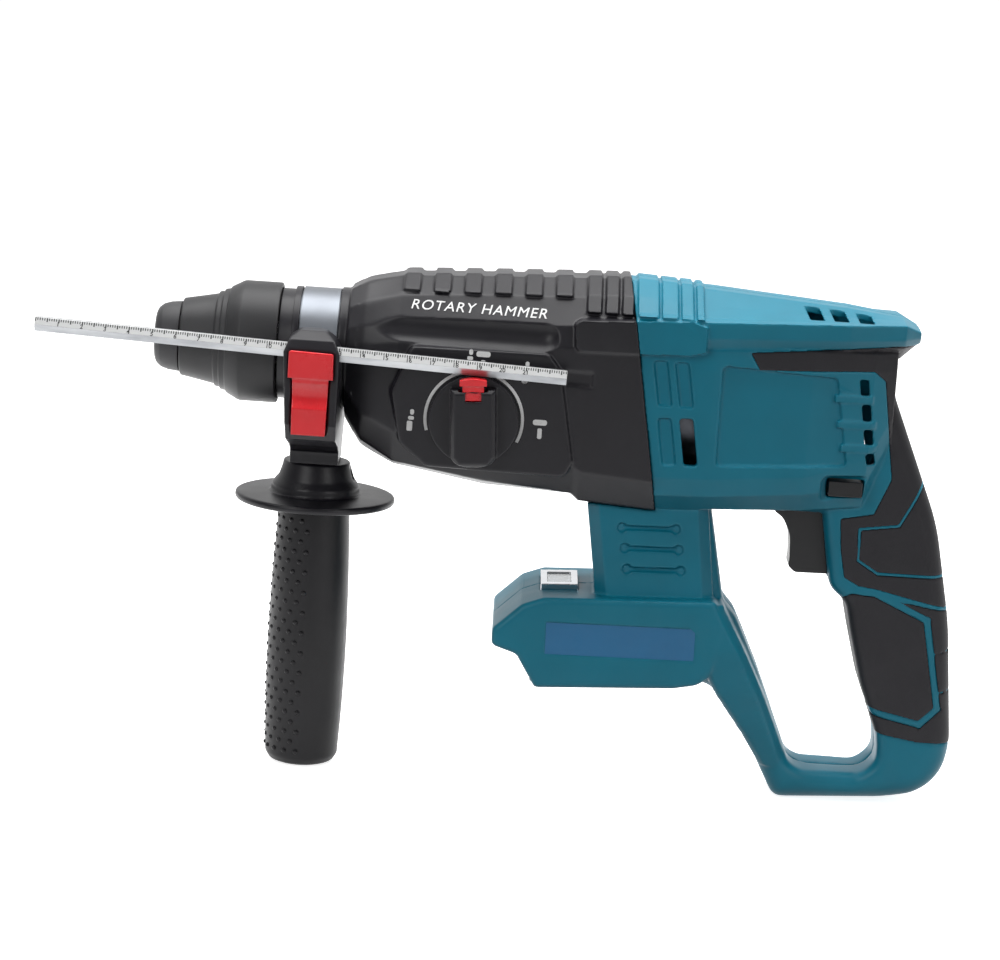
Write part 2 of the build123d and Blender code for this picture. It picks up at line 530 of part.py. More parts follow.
# ---- spindle and chuck ---------------------------------------------------------------------------
holder = turned_x([
    (0, 0), (0, 8.8), (0.6, HOLDER_R), (61, HOLDER_R), (63, 12.45), (72, 12.45), (76, SLEEVE_R),
        (99.8, SLEEVE_R),
    (99.8, 19.7), (102.4, 19.7), (102.4, SLEEVE_R), (150, SLEEVE_R),
    (150, CYLINDER_R), (97, CYLINDER_R), (95, 8.1), (58, 8.1), (56, TOOL_BORE_R), (56, 0)])
holder -= rod_x(-1, 57, TOOL_BORE_R)
holder -= rod_z(-12, 12, 3.6, 24)
keep("tool_holder", holder)
keep("locking_balls", [Pos(24, 0, 8.75) * Sphere(3.5), Pos(24, 0, -8.75) * Sphere(3.5)])
keep("ball_lock_ring", tube_x(19, 29, 14.0, 12.4) - rod_x(18, 19.9, 13.2))
keep("chuck_spring", Pos(29.3, 0, 0) * Rot(0, 90, 0) * coil(11.6, 0.7, 19.6, 5))
keep("chuck_circlip", tube_x(49.2, 50.6, 13.6, HOLDER_R) - block((49, 51), (-2.2, 2.2), (9, 16)))
keep("nose_cap", turned_x([
    (-1.5, 6.0), (-1.5, 10.6), (-0.6, 12.4), (1.4, 14.0), (4.6, 15.0), (9.4, 15.5), (9.4, HOLDER_R + 0.02),
    (-0.1, HOLDER_R + 0.02), (-0.1, 6.0)]))
keep("chuck_sleeve", turned_x([
    (10.2, 15.9), (9.8, 16.3), (10.3, 17.0), (25.0, 19.9), (25.6, 20.9), (27.6, 21.2), (28.0, 22.1),
        (30.2, 22.5),
    (30.7, 23.4), (35.6, 26.1), (36.8, 26.5), (52.4, 26.5), (53.0, 26.1), (53.0, 24.6), (36.2, 24.6),
        (31.6, 21.4),
    (31.6, 14.3), (29.6, 14.3), (29.6, 18.6), (12.2, 15.9)]))
keep("spindle_gear", spur_gear(GEAR_TEETH, GEAR_MODULE, 118, 128, SLEEVE_R, 0, -90))
keep("torque_clutch_spring", Pos(102.6, 0, 0) * Rot(0, 90, 0) * coil(18.6, 1.2, 15.2, 3))

# ---- hammer mechanism ------------------------------------------------------------------------------
keep("impact_bolt", turned_x([(60, 0), (60, 4.9), (71, 4.9), (73, 8.0), (86, 8.0), (88, 6), (92, 6),
    (92, 0)]))
piston = turned_x([
    (103.2, 10.1), (103.2, PISTON_R), (150, PISTON_R), (150, 9.5), (171, 9.5), (171, 0), (147, 0),
        (147, 10.1)])
piston -= block((152, 172), (-6.0, 6.0), (-20, 20)) + rod_y(-20, 20, 5.05, WOBBLE_X, 0)
keep("piston", piston)
keep("piston_pin", rod_y(-9.4, 9.4, 5.0, WOBBLE_X, 0) - rod_z(-8, 8, 3.15, WOBBLE_X))
keep("striker", turned_x([(104, 0), (104, 4.5), (114, 4.5), (116, 10.05), (119, 10.05), (119, 8.6),
    (121.4, 8.6),
                          (121.4, 10.05), (134, 10.05), (134, 0)]))
keep("striker_seal", tube_x(119.05, 121.35, 10.07, 8.62))

# ---- countershaft ------------------------------------------------------------------------------------
keep("countershaft", turned_x([(99, 0), (99, 3.5), (106.5, 3.5), (106.5, 5.0), (190.5, 5.0), (190.5, 3.5),
    (196.4, 3.5),
                               (196.4, 0)], SHAFT_Z))
keep("drive_pinion", spur_gear(PINION_TEETH, GEAR_MODULE, 116.5, 127.8, 5.0, SHAFT_Z, 15))
keep("clutch_sleeve", turned_x([(131.2, 5.05), (131.2, 9), (134, 9), (134, 7), (140, 7), (140, 9),
    (142.8, 9), (142.8, 5.05)],
                               SHAFT_Z))
hub = Pos(WOBBLE_X, 0, SHAFT_Z) * Sphere(10.5) & rod_x(154.5, 169.5, 12, z=SHAFT_Z)
keep("wobble_hub", hub - rod_x(140, 180, 5.0, z=SHAFT_Z))
ring = rod_x(156.5, 167.5, 14.5, z=SHAFT_Z) - Pos(WOBBLE_X, 0, SHAFT_Z) * Sphere(10.8)
ring += rod_z(SHAFT_Z + 12.5, 5.0, 3.0, WOBBLE_X)
keep("wobble_ring", ring)
keep("countershaft_gear", spur_gear(FAST_GEAR_TEETH, FAST_MODULE, 181, 188, 5.0, SHAFT_Z, 6))

# ---- motor ----------------------------------------------------------------------------------------------
shaft = turned_x([(180.2, 0), (180.2, 2.2), (190, 2.2), (192, 3.0), (273, 3.0), (273, 0)], MOTOR_Z)
shaft = joined(shaft, spur_gear(FAST_PINION_TEETH, FAST_MODULE, 180.5, 188.5, 2.1, MOTOR_Z, 0))
keep("motor_shaft", shaft)
keep("rotor_core", tube_x(219, 249, 12.5, 3.0, z=MOTOR_Z))
stator = tube_x(218.6, 249.9, 24.9, 21.0, z=MOTOR_Z)
teeth = []
for k in range(6):
    arm = block((218.6, 249.9), (-3.2, 3.2), (14.5, 21.5)) + block((218.6, 249.9), (-5.2, 5.2), (13.3, 14.8))
    teeth.append(Pos(0, 0, MOTOR_Z) * Rot(60 * k, 0, 0) * arm)
stator = joined(stator, *teeth) - rod_x(210, 260, 13.2, z=MOTOR_Z)
keep("stator_core", stator)
coils = []
for k in range(6):
    winding = block((216.0, 252.6), (-5.4, 5.4), (15.2, 20.1)) - block((218.5, 250.0), (-3.25, 3.25),
        (14, 22))
    coils.append(Pos(0, 0, MOTOR_Z) * Rot(60 * k, 0, 0) * winding)
keep("stator_coils", coils)
fan = turned_x([(203, 3.0), (203, 22), (204.4, 22), (205.2, 7.5), (211, 7.5), (211, 3.0)], MOTOR_Z)
blades = []
for k in range(12):
    blades.append(Pos(0, 0, MOTOR_Z) * Rot(30 * k, 0, 0) * Pos(207.4, 0, 14.6) * Rot(25, 0, 0) * Box(6.8,
        1.0, 14.5))
keep("cooling_fan", joined(fan, *blades))

# ---- electrics -------------------------------------------------------------------------------------------
keep("motor_controller", block((208, 241), (-19, 19), (-92, -66)) - block((211, 238), (-17, 17), (-69, -60)))
terminal = slab([(206, -118.02), (236, -116.88), (236, -124.6), (206, -125.8)], -17, 17)
terminal -= [block((203, 233), pair, (-127, -119.5)) for pair in sides(9, 13)]
keep("terminal_block", terminal)
keep("terminal_blades", [block((209, 231), (-11.5, -10.5), (-125, -119.6)),
    block((209, 231), (10.5, 11.5), (-125, -119.6))])
keep("switch_body", block((310, 331), (-9.5, 9.5), (-86, -64)))

# ---- trigger and reversing bar ------------------------------------------------------------------------------
trigger_points = [(273.2, -57.9), (279.5, -62.2), (283.0, -69.5), (283.6, -80.0), (283.2, -83.6),
    (286.5, -86.4),
                  (301.5, -86.0), (300.0, -77.5), (297.0, -57.9)]
trigger = slab(trigger_points, -7.6, 7.6, [1, 8, 14, 3, 2, 3, 1, 8, 1])
stem = slab([(290, -66), (303.0, -66), (303.0, -78), (290, -78)], -5, 5)
keep("trigger", joined(trigger, stem) - rod_x(TRIGGER_SPRING_X[0], 304, 3.7, z=TRIGGER_SPRING_Z))
trigger_coil = coil(3.0, 0.35, TRIGGER_SPRING_X[1] - TRIGGER_SPRING_X[0] - 0.1, 5)
keep("trigger_spring", Pos(TRIGGER_SPRING_X[0] + 0.05, 0, TRIGGER_SPRING_Z) * Rot(0, 90, 0) * trigger_coil)
sel_x, sel_z = SELECTOR
bar_half = 26.4
selector = block((sel_x - 7.4, sel_x + 7.4), (-bar_half, bar_half), (sel_z - 3.4, sel_z + 3.4))
selector -= block((sel_x - 8, sel_x + 8), (-14, 14), (sel_z + 0.6, sel_z + 5))
keep("reversing_bar", selector)

# ---- mode dial -------------------------------------------------------------------------------------------------
PIN_R, PIN_PLAY, PIN_OFFSET = 1.8, 0.8, 3.0     # the dial's eccentric pin in the fork's slot


def turned_pin():
    """Where the dial's eccentric pin is at rest."""
    lean = math.radians(DIAL_TILT)
    return DIAL_X - PIN_OFFSET * math.sin(lean), DIAL_Z - PIN_OFFSET * math.cos(lean)


dial = Pos(DIAL_X, -41.3, DIAL_Z) * Rot(90, 0, 0) * Cylinder(DIAL_R, 3.0)
LEVER_TOP, LEVER_FRONT = DIAL_Z + 14.2, -51.0
LOCK_PLAY = 0.3
lever = slab([(DIAL_X - 9.6, DIAL_Z - 15.5), (DIAL_X - 6.5, DIAL_Z - 19.2), (DIAL_X + 6.5, DIAL_Z - 19.2),
              (DIAL_X + 9.6, DIAL_Z - 15.5), (DIAL_X + 9.6, LEVER_TOP), (DIAL_X - 9.6, LEVER_TOP)],
                  LEVER_FRONT, -42.8)
lever = chamfer([edge for edge in lever.edges() if abs(edge.center().Y - LEVER_FRONT) < 1e-3], 1.6)
lever &= Pos(DIAL_X, -44.0, DIAL_Z) * Rot(90, 0, 0) * Cylinder(DIAL_R, 16.0)
lever -= block((DIAL_X - 6.1, DIAL_X + 6.1), (-50, -44.6), (DIAL_Z + 7.8, DIAL_Z + 30))
lever -= block((DIAL_X - 3.4, DIAL_X + 3.4), (-60, -49), (DIAL_Z + 9.2, DIAL_Z + 13.0))
dial = joined(dial, lever, rod_y(-41, -30.5, 7.0, DIAL_X, DIAL_Z), rod_y(-30.6, -28.4, 9.5, DIAL_X, DIAL_Z),
              rod_y(-29, -24.3, PIN_R, DIAL_X, DIAL_Z - PIN_OFFSET))
lock = block((DIAL_X - 6.1 + LOCK_PLAY, DIAL_X + 6.1 - LOCK_PLAY), (-50.6, -44.8),
    (LEVER_TOP + 1.7, DIAL_Z + 19.2))
lock &= Pos(DIAL_X, -47, DIAL_Z) * Rot(90, 0, 0) * Cylinder(DIAL_R - 0.1, 16.0)
lock += block((DIAL_X - 4.6, DIAL_X + 4.6), (-49.6, -45.2), (DIAL_Z + 9.5, LEVER_TOP + 2.0))
turn = Pos(DIAL_X, 0, DIAL_Z) * Rot(0, DIAL_TILT, 0) * Pos(-DIAL_X, 0, -DIAL_Z)
keep("mode_dial", turn * dial)
keep("dial_lock_button", turn * lock)
fork = block((134.3, 139.7), (-22.0, -8.0), (-44, -22.6)) - rod_x(130, 145, 7.3, z=SHAFT_Z)
pin_x, pin_z = turned_pin()
slot = block((pin_x - 5.5, pin_x + 5.5), (-28.0, -21.9), (-34, -19.5)) - block(
    (pin_x - PIN_R - PIN_PLAY, pin_x + PIN_R + PIN_PLAY), (-30, -24), (-32, -19.0))
keep("shift_fork", joined(fork, slot))

# ---- work lamp ---------------------------------------------------------------------------------------------------
lens_height = 1.4
lamp_mouth = Pos(0, 0, LAMP_HEIGHT / 2 - 0.9) * Box(LENS_LENGTH + 0.1, LENS_WIDTH + 0.1, 2.4)
keep("lamp_bezel", LAMP * (Box(LAMP_LENGTH, LAMP_WIDTH, LAMP_HEIGHT) - lamp_mouth))
keep("lamp_lens", LAMP * Pos(0, 0, LAMP_HEIGHT / 2 - 0.9 - 0.4) * Box(LENS_LENGTH, LENS_WIDTH, lens_height))

# ---- side handle ------------------------------------------------------------------------------------------------------
def clamp_profile(points, x0, x1):
    """A YZ outline extruded along X."""
    face = make_face(Polyline(*[(x0, y, z) for y, z in points], close=True))
    return extrude(face, amount=x1 - x0, dir=(1, 0, 0))


clamp_shape = [(-35, 13), (-42, 12.6), (-48.5, 9.5), (-51.2, 5), (-51.5, -27), (-47, -34), (-22, -41),
    (-13.5, -45),
               (-13.5, -51), (13.5, -51), (13.5, -45), (27, -33), (33, -18), (30, -12), (20, -24), (-20, -24),
               (-30, -10), (-31, 6)]
clamp = clamp_profile(clamp_shape, 57.5, 82.0)
clamp -= rod_x(50, 62.4, 27.2) + rod_x(62.3, 79.3, 25.8) + rod_x(79.2, 90, 27.2)
clamp &= slab([(60.4, -33), (60.6, -52), (82, -52), (82, 4), (79.8, 9.2), (75.5, 12.6), (70, 14), (64.6, 13),
               (60.2, 9.8), (58.0, 4)], -60, 60)
clamp -= [block((64, 80), (-10, 10), (-52, -36)), block((64.2, 77.4), (-5.4, 5.4), (-37, -20))]
gauge_turn = Pos(GRIP_X, GAUGE_Y, 3.97) * Rot(0, 90 + GAUGE_SLOPE, 0)
clamp -= gauge_turn * extrude(RegularPolygon(GAUGE_FLATS / 2 + 0.3, 6, major_radius=False,
    rotation=GAUGE_ROLL), amount=60, both=True)
paddle_top = [(60.6, 4.6), (61.4, 5.3), (79.0, 4.8), (79.6, 4.2), (79.9, -6.5), (60.6, -6.5)]
paddle_low = [(62.6, -6.4), (78.0, -6.4), (77.7, -31.0), (63.2, -31.0)]
clamp -= slab([(x + (0.4 if x > 70 else -0.4), z + (0.4 if z > -6 else -0.4)) for x, z in paddle_top], -60,
    -50.6)
clamp -= slab([(x + (0.4 if x > 70 else -0.4), z + (0.4 if z > -10 else -0.4)) for x, z in paddle_low], -60,
    -46.2)
keep("clamp_body", sorted(clamp.solids(), key=lambda s: s.volume)[-1])
scoop = Pos(69.8, -62.6, -14) * Rot(0, 90, 0) * Cylinder(10.5, 40)
keep("gauge_lock_button", joined(slab(paddle_top, -54.0, -53.0), slab(paddle_low, -53.6, -49.0)) - scoop)
strap = tube_x(62.8, 78.8, 25.6, BARREL_R + RUN)
strap += block((64.6, 77), (-5, 5), (-36, -24.9)) - rod_x(60, 90, 25.0)
keep("clamp_strap", strap)
stud = rod_z(-88, -36.1, 4.0, GRIP_X) + rod_z(-40, -36.05, 6.0, GRIP_X)
keep("clamp_stud", stud)
rod_length = math.dist(GAUGE_FRONT, GAUGE_REAR)
gauge = extrude(RegularPolygon(GAUGE_FLATS / 2, 6, major_radius=False, rotation=GAUGE_ROLL),
    amount=rod_length / 2, both=True)
middle = ((GAUGE_FRONT[0] + GAUGE_REAR[0]) / 2, (GAUGE_FRONT[1] + GAUGE_REAR[1]) / 2)
keep("depth_gauge", Pos(middle[0], GAUGE_Y, middle[1]) * Rot(0, 90 + GAUGE_SLOPE, 0) * gauge)

bell = turned_z([(4.3, -51.3), (14.6, -51.3), (15.6, -54), (17.2, -59), (19.4, -62), (19.6, -65.5),
    (35.0, -66.2),
                 (35.4, -67.2), (35.4, -68.6), (34.6, -69.4), (4.3, -69.4)], GRIP_X)
for side in (-1, 1):
    bell -= block((GRIP_X + side * 22 - 7.2, GRIP_X + side * 22 + 7.2), (-3.5, 3.5), (-59.5, -50))
keep("grip_flange", bell)
GRIP_PROFILE = [(15.4, -69.4), (16.6, -92), (17.5, -128), (17.3, -156), (16.5, -178)]
with BuildSketch(Plane.XZ) as grip_half:
    with BuildLine():
        Spline(*GRIP_PROFILE)
        Polyline((16.5, -178), (16.2, -184.5), (14.4, -187.4), (11.5, FLOOR_Z), (0, FLOOR_Z), (0, -69.4),
            (15.4, -69.4))
    make_face()
grip = Pos(GRIP_X, 0, 0) * revolve(grip_half.sketch, Axis.Z)
keep("side_grip", grip - [rod_z(-92, -60, 4.3, GRIP_X), rod_z(-86, -75, 8.05, GRIP_X)])
keep("grip_nut", Pos(GRIP_X, 0, -80.5) * (extrude(RegularPolygon(6.9, 6, major_radius=False), amount=5,
    both=True)
                                         - Cylinder(4.1, 12)))

# ---- fasteners and labels ------------------------------------------------------------------------------------------------
screws = []
for x, z, head in SCREWS:
    cross = [block((x - 2.2, x + 2.2), (head - 1.4, head + 1), (z - 0.4, z + 0.4)),
             block((x - 0.4, x + 0.4), (head - 1.4, head + 1), (z - 2.2, z + 2.2))]
    screws.append(joined(rod_y(-10.5, head - 3.0, 1.85, x, z),
        rod_y(head - 3.1, head - 0.4, 3.7, x, z)) - cross)
keep("housing_screws", screws)
keep("badge_plates", [BADGE * block((-32.6, 32.6), pair, (-7.1, 7.1))
                      for pair in sides(BASE_HALF - 0.8, BASE_HALF - 0.3)])

for name, shape in pieces.items():
    export_step(shape, f"parts/{name}.step")
print(len(pieces), "nodes")
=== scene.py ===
"""Looks of a cordless rotary hammer: softened shells, turned rings, printed marks and moulded finishes.

Everything is in metres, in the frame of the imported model: the tool bore's mouth is the origin, +X runs to the
rear handle, +Z is up and the mode dial is on the -Y side.
"""

from __future__ import annotations

import json
import logging
import math
from dataclasses import dataclass, field
from enum import Enum
from typing import Any, Callable, Iterable, Sequence

import bpy
from mathutils import Matrix, Vector

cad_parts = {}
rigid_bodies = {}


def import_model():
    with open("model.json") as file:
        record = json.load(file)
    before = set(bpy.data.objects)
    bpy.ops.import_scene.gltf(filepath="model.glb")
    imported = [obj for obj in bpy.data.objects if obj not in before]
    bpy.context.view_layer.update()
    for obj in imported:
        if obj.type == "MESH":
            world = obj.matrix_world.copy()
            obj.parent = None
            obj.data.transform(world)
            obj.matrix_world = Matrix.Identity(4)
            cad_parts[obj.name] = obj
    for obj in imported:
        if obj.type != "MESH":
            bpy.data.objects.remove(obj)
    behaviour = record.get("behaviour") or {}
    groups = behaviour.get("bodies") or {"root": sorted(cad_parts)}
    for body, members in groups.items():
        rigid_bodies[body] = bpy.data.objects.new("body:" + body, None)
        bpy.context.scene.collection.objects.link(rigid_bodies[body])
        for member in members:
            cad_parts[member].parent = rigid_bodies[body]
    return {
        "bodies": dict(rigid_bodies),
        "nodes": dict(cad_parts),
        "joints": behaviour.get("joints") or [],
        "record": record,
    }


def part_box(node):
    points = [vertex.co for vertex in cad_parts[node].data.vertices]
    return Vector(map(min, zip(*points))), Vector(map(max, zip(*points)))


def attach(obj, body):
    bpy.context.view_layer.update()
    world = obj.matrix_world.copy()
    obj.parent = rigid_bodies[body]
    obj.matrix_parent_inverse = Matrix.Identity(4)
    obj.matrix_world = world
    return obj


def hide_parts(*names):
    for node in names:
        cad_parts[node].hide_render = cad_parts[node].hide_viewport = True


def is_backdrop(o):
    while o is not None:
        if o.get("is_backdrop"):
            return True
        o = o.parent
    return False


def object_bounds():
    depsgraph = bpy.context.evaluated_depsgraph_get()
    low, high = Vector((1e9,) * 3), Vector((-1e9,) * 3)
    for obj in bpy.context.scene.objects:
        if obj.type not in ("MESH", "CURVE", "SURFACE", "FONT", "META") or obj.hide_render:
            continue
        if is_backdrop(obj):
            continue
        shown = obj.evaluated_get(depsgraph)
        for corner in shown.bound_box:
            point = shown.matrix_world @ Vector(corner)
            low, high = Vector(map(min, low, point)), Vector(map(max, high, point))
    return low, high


LOG = logging.getLogger("rotary_hammer")
MM = 0.001
Point = tuple[float, float, float]


class Axis(Enum):
    """The direction a turned or drawn piece runs in."""

    X = "x"
    Y = "y"
    Z = "z"


class Corner(Enum):
    """How much a hard-edged solid is rounded when it is softened."""

    CRISP = 1
    MOULDED = 2
    WORN = 8


# ---- shader building -------------------------------------------------------------------------


class Value:
    """A number that changes over a surface, with the usual arithmetic."""

    def __init__(self, finish: "Shader", socket: bpy.types.NodeSocket) -> None:
        """Wraps a socket of the given shader."""
        self.finish = finish
        self.socket = socket

    def _with(self, operation: str, *others: "Value | float", first: bool = True) -> "Value":
        """Adds one Math node.

        Args:
            operation: The Math node's operation.
            others: The other operands.
            first: Whether this value is the first operand.

        Returns:
            The node's result.
        """
        operands = [self, *others] if first else [*others, self]
        return self.finish.node("ShaderNodeMath", {"operation": operation}, dict(enumerate(operands)))

    def __add__(self, other: "Value | float") -> "Value":
        """Sum."""
        return self._with("ADD", other)

    __radd__ = __add__

    def __sub__(self, other: "Value | float") -> "Value":
        """Difference."""
        return self._with("SUBTRACT", other)

    def __rsub__(self, other: float) -> "Value":
        """Difference from a number."""
        return self._with("SUBTRACT", other, first=False)

    def __mul__(self, other: "Value | float") -> "Value":
        """Product."""
        return self._with("MULTIPLY", other)

    __rmul__ = __mul__

    def __truediv__(self, other: "Value | float") -> "Value":
        """Quotient."""
        return self._with("DIVIDE", other)

    def above(self, edge: float) -> "Value":
        """1 where this is over edge, else 0."""
        return self._with("GREATER_THAN", edge)

    def below(self, edge: float) -> "Value":
        """1 where this is under edge, else 0."""
        return self._with("LESS_THAN", edge)

    def fraction(self) -> "Value":
        """The part after the decimal point."""
        return self._with("FRACT")

    def size(self) -> "Value":
        """The absolute value."""
        return self._with("ABSOLUTE")

    def clipped(self) -> "Value":
        """Held between 0 and 1."""
        return self.finish.node("ShaderNodeClamp", {}, {0: self})

    def ramp(self, low: float, high: float) -> "Value":
        """0 at low, 1 at high, straight between."""
        settings = {"clamp": True}
        return self.finish.node("ShaderNodeMapRange", settings, {0: self, 1: low, 2: high, 3: 0.0, 4: 1.0})


class Shader:
    """A node material under construction around one Principled shader."""

    def __init__(self, name: str) -> None:
        """Starts a material with that name."""
        self.material = bpy.data.materials.new(name)
        self.material.use_nodes = True
        self.tree = self.material.node_tree
        self.tree.nodes.clear()
        self.principled = self.tree.nodes.new("ShaderNodeBsdfPrincipled")
        output = self.tree.nodes.new("ShaderNodeOutputMaterial")
        self.tree.links.new(self.principled.outputs[0], output.inputs[0])

    def node(self, kind: str, settings: dict[str, Any], inputs: dict[Any, Any],
             result: int | str = 0) -> Value:
        """Adds any node.

        Args:
            kind: The node's type.
            settings: Its own properties, set first.
            inputs: Values or links for its sockets, by name or number.
            result: The output socket to return.

        Returns:
            That output, ready for arithmetic or linking.
        """
        made = self.tree.nodes.new(kind)
        for key, value in settings.items():
            setattr(made, key, value)
        for key, value in inputs.items():
            self.plug(made.inputs[key], value)
        return Value(self, made.outputs[result])

    def plug(self, socket: bpy.types.NodeSocket, value: Any) -> None:
        """Links a Value, or sets a constant, on a socket."""
        if isinstance(value, Value):
            self.tree.links.new(value.socket, socket)
        else:
            socket.default_value = value

    def set(self, **sockets: Any) -> None:
        """Sets or links the Principled shader's sockets, with spaces written as underscores."""
        for name, value in sockets.items():
            self.plug(self.principled.inputs[name.replace("_", " ")], value)

    def position(self) -> Value:
        """The point's place in the row frame."""
        return self.node("ShaderNodeTexCoord", {}, {}, "Object")

    def part(self, vector: Value, axis: Axis) -> Value:
        """One coordinate of a vector."""
        return self.node("ShaderNodeSeparateXYZ", {}, {0: vector}, axis.value.upper())

    def noise(self, scale: float, detail: float = 2.0, stretch: Point = (1, 1, 1),
              rough: float = 0.5) -> Value:
        """Cloud noise, from 0 to 1, in the row frame.

        Args:
            scale: Cells per metre.
            detail: Octaves.
            stretch: Scale along each axis, to draw the noise out along one.
            rough: How strong the fine octaves are.

        Returns:
            The noise's value.
        """
        where = self.node("ShaderNodeMapping", {}, {"Vector": self.position(), "Scale": stretch})
        inputs = {"Vector": where, "Scale": scale, "Detail": detail, "Roughness": rough}
        return self.node("ShaderNodeTexNoise", {}, inputs, 0)

    def cells(self, scale: float) -> Value:
        """Distance to the nearest point of a scatter, for pebbled grain."""
        return self.node("ShaderNodeTexVoronoi", {}, {"Vector": self.position(), "Scale": scale}, "Distance")

    def edges(self) -> Value:
        """How convex the surface is: about 0.5 on a flat."""
        return self.node("ShaderNodeNewGeometry", {}, {}, "Pointiness")

    def mix(self, share: Value | float, low: Any, high: Any) -> Value:
        """A colour between two, by share."""
        settings = {"data_type": "RGBA"}
        return self.node("ShaderNodeMix", settings, {0: share, 6: low, 7: high}, 2)

    def bump(self, height: Value, depth: float, strength: float = 1.0) -> Value:
        """A normal that follows a height.

        Args:
            height: The height, from 0 to 1.
            depth: What 1 stands for, in metres.
            strength: The bump's strength.

        Returns:
            The normal.
        """
        return self.node("ShaderNodeBump", {}, {"Strength": strength, "Distance": depth, "Height": height})


def linear(red: int, green: int, blue: int) -> tuple[float, float, float, float]:
    """A display colour, from 0 to 255, as scene-linear RGBA."""

    def one(level: int) -> float:
        """One channel."""
        share = level / 255
        return share / 12.92 if share <= 0.04045 else ((share + 0.055) / 1.055) ** 2.4

    return (one(red), one(green), one(blue), 1.0)


@dataclass(frozen=True)
class Moulded:
    """Injection-moulded plastic or rubber with a spark-eroded grain."""

    name: str
    colour: tuple[int, int, int]
    roughness: float = 0.45
    grain: float = 2600.0
    depth: float = 0.00003
    # How much convex edges are lightened: partly rubbed wear, partly a painted highlight.
    worn: float = 0.12
    coat: float = 0.0
    specular: float = 0.5
    sheen: float = 0.0
    pebbled: bool = False

    def build(self) -> bpy.types.Material:
        """Makes the material: grain, faint flow clouding and paler convex edges, partly rubbed wear and partly a
        painted highlight.
        """
        shader = Shader(self.name)
        base = linear(*self.colour)
        # Lighter edge colour: partly rubbed wear, partly a painted highlight on convex edges.
        pale_edge_and_highlight = tuple(min(1.0, c * 1.35 + 0.012) for c in base[:3]) + (1.0,)
        deep = tuple(c * 0.86 for c in base[:3]) + (1.0,)
        cloud = shader.noise(38.0, 3.0)
        # Convex edges, found by pointiness, are lightened: partly rubbed wear, partly a painted highlight.
        rub_and_highlight = (shader.edges().ramp(0.52, 0.60) * shader.noise(220.0, 4.0).ramp(0.35, 0.7)) * self.worn
        colour = shader.mix(cloud.ramp(0.3, 0.75), deep, base)
        colour = shader.mix(rub_and_highlight, colour, pale_edge_and_highlight)
        fine = shader.cells(self.grain) if self.pebbled else shader.noise(self.grain, 2.0, rough=0.7)
        handled = shader.noise(60.0, 3.0)
        rough = self.roughness + (handled - 0.5) * 0.16 + (fine - 0.5) * 0.05
        shader.set(Base_Color=colour, Roughness=rough.clipped(), Normal=shader.bump(fine, self.depth, 0.6))
        shader.set(Specular_IOR_Level=self.specular, Coat_Weight=self.coat, Coat_Roughness=0.18)
        if self.sheen:
            shader.set(Sheen_Weight=self.sheen, Sheen_Roughness=0.4)
        return shader.material


@dataclass(frozen=True)
class Metal:
    """Bare or plated metal, turned, drawn or cast."""

    name: str
    colour: tuple[int, int, int]
    roughness: float = 0.28
    lay: Point = (1.0, 1.0, 1.0)
    scratch: float = 0.00001
    blotch: float = 0.1

    def build(self) -> bpy.types.Material:
        """Makes the material: tool marks drawn out by lay, handling marks and darker oil film."""
        shader = Shader(self.name)
        base = linear(*self.colour)
        dull = tuple(c * (1 - 2.2 * self.blotch) for c in base[:3]) + (1.0,)
        marks = shader.noise(900.0, 4.0, self.lay, 0.65)
        film = shader.noise(90.0, 4.0)
        shader.set(Base_Color=shader.mix(film.ramp(0.35, 0.8), base, dull), Metallic=1.0)
        rough = self.roughness + (marks - 0.5) * 0.14 + (film - 0.5) * 0.12
        shader.set(Roughness=rough.clipped(), Normal=shader.bump(marks, self.scratch, 0.5))
        return shader.material


@dataclass(frozen=True)
class Printed:
    """Pad-printed ink with a slightly broken edge."""

    name: str
    colour: tuple[int, int, int]

    def build(self) -> bpy.types.Material:
        """Makes the material: thin spots in the ink and an eggshell surface."""
        shader = Shader(self.name)
        base = linear(*self.colour)
        thin = tuple(c * 0.78 for c in base[:3]) + (1.0,)
        wear = shader.noise(1500.0, 3.0).ramp(0.52, 0.8)
        shader.set(Base_Color=shader.mix(wear, base, thin), Roughness=shader.noise(700.0) * 0.2 + 0.42)
        return shader.material


@dataclass(frozen=True)
class ScaledRod:
    """The depth gauge's bright steel with a white, ruled upper facet."""

    name: str = "gauge_steel_ruled"
    slope: float = math.radians(2.1)
    front: tuple[float, float] = (-0.0485, 0.0084)
    axis_y: float = -0.045

    def build(self) -> bpy.types.Material:
        """Makes the material: millimetre and half-centimetre ticks on the facet that faces up and out."""
        shader = Shader(self.name)
        place = shader.position()
        x, y, z = (shader.part(place, axis) for axis in Axis)
        along = (x - self.front[0]) * math.cos(self.slope) - (z - self.front[1]) * math.sin(self.slope)
        up = (x - self.front[0]) * math.sin(self.slope) + (z - self.front[1]) * math.cos(self.slope)
        facet = up.above(0.00004) * (y - self.axis_y).below(-0.0001)
        millimetre = (along / MM).fraction()
        fifth = (along / (5 * MM)).fraction()
        fine = millimetre.below(0.4) * up.ramp(0.00185, 0.00186)
        long = fifth.below(0.11) * up.ramp(0.00135, 0.00136)
        tick = (fine + long).clipped() * facet * (1 - up.ramp(0.00288, 0.0029))
        steel, white, ink = linear(168, 170, 172), linear(205, 206, 206), linear(38, 38, 40)
        film = shader.noise(140.0, 4.0, (0.3, 1, 1))
        colour = shader.mix(film.ramp(0.3, 0.8), steel, linear(120, 122, 126))
        colour = shader.mix(facet, colour, white)
        colour = shader.mix(tick, colour, ink)
        marks = shader.noise(1200.0, 4.0, (0.06, 1, 1), 0.7)
        shader.set(Base_Color=colour, Metallic=(1 - facet) * 0.95, Roughness=(marks * 0.22 + 0.2).clipped())
        shader.set(Normal=shader.bump(marks, 0.00001, 0.4))
        return shader.material


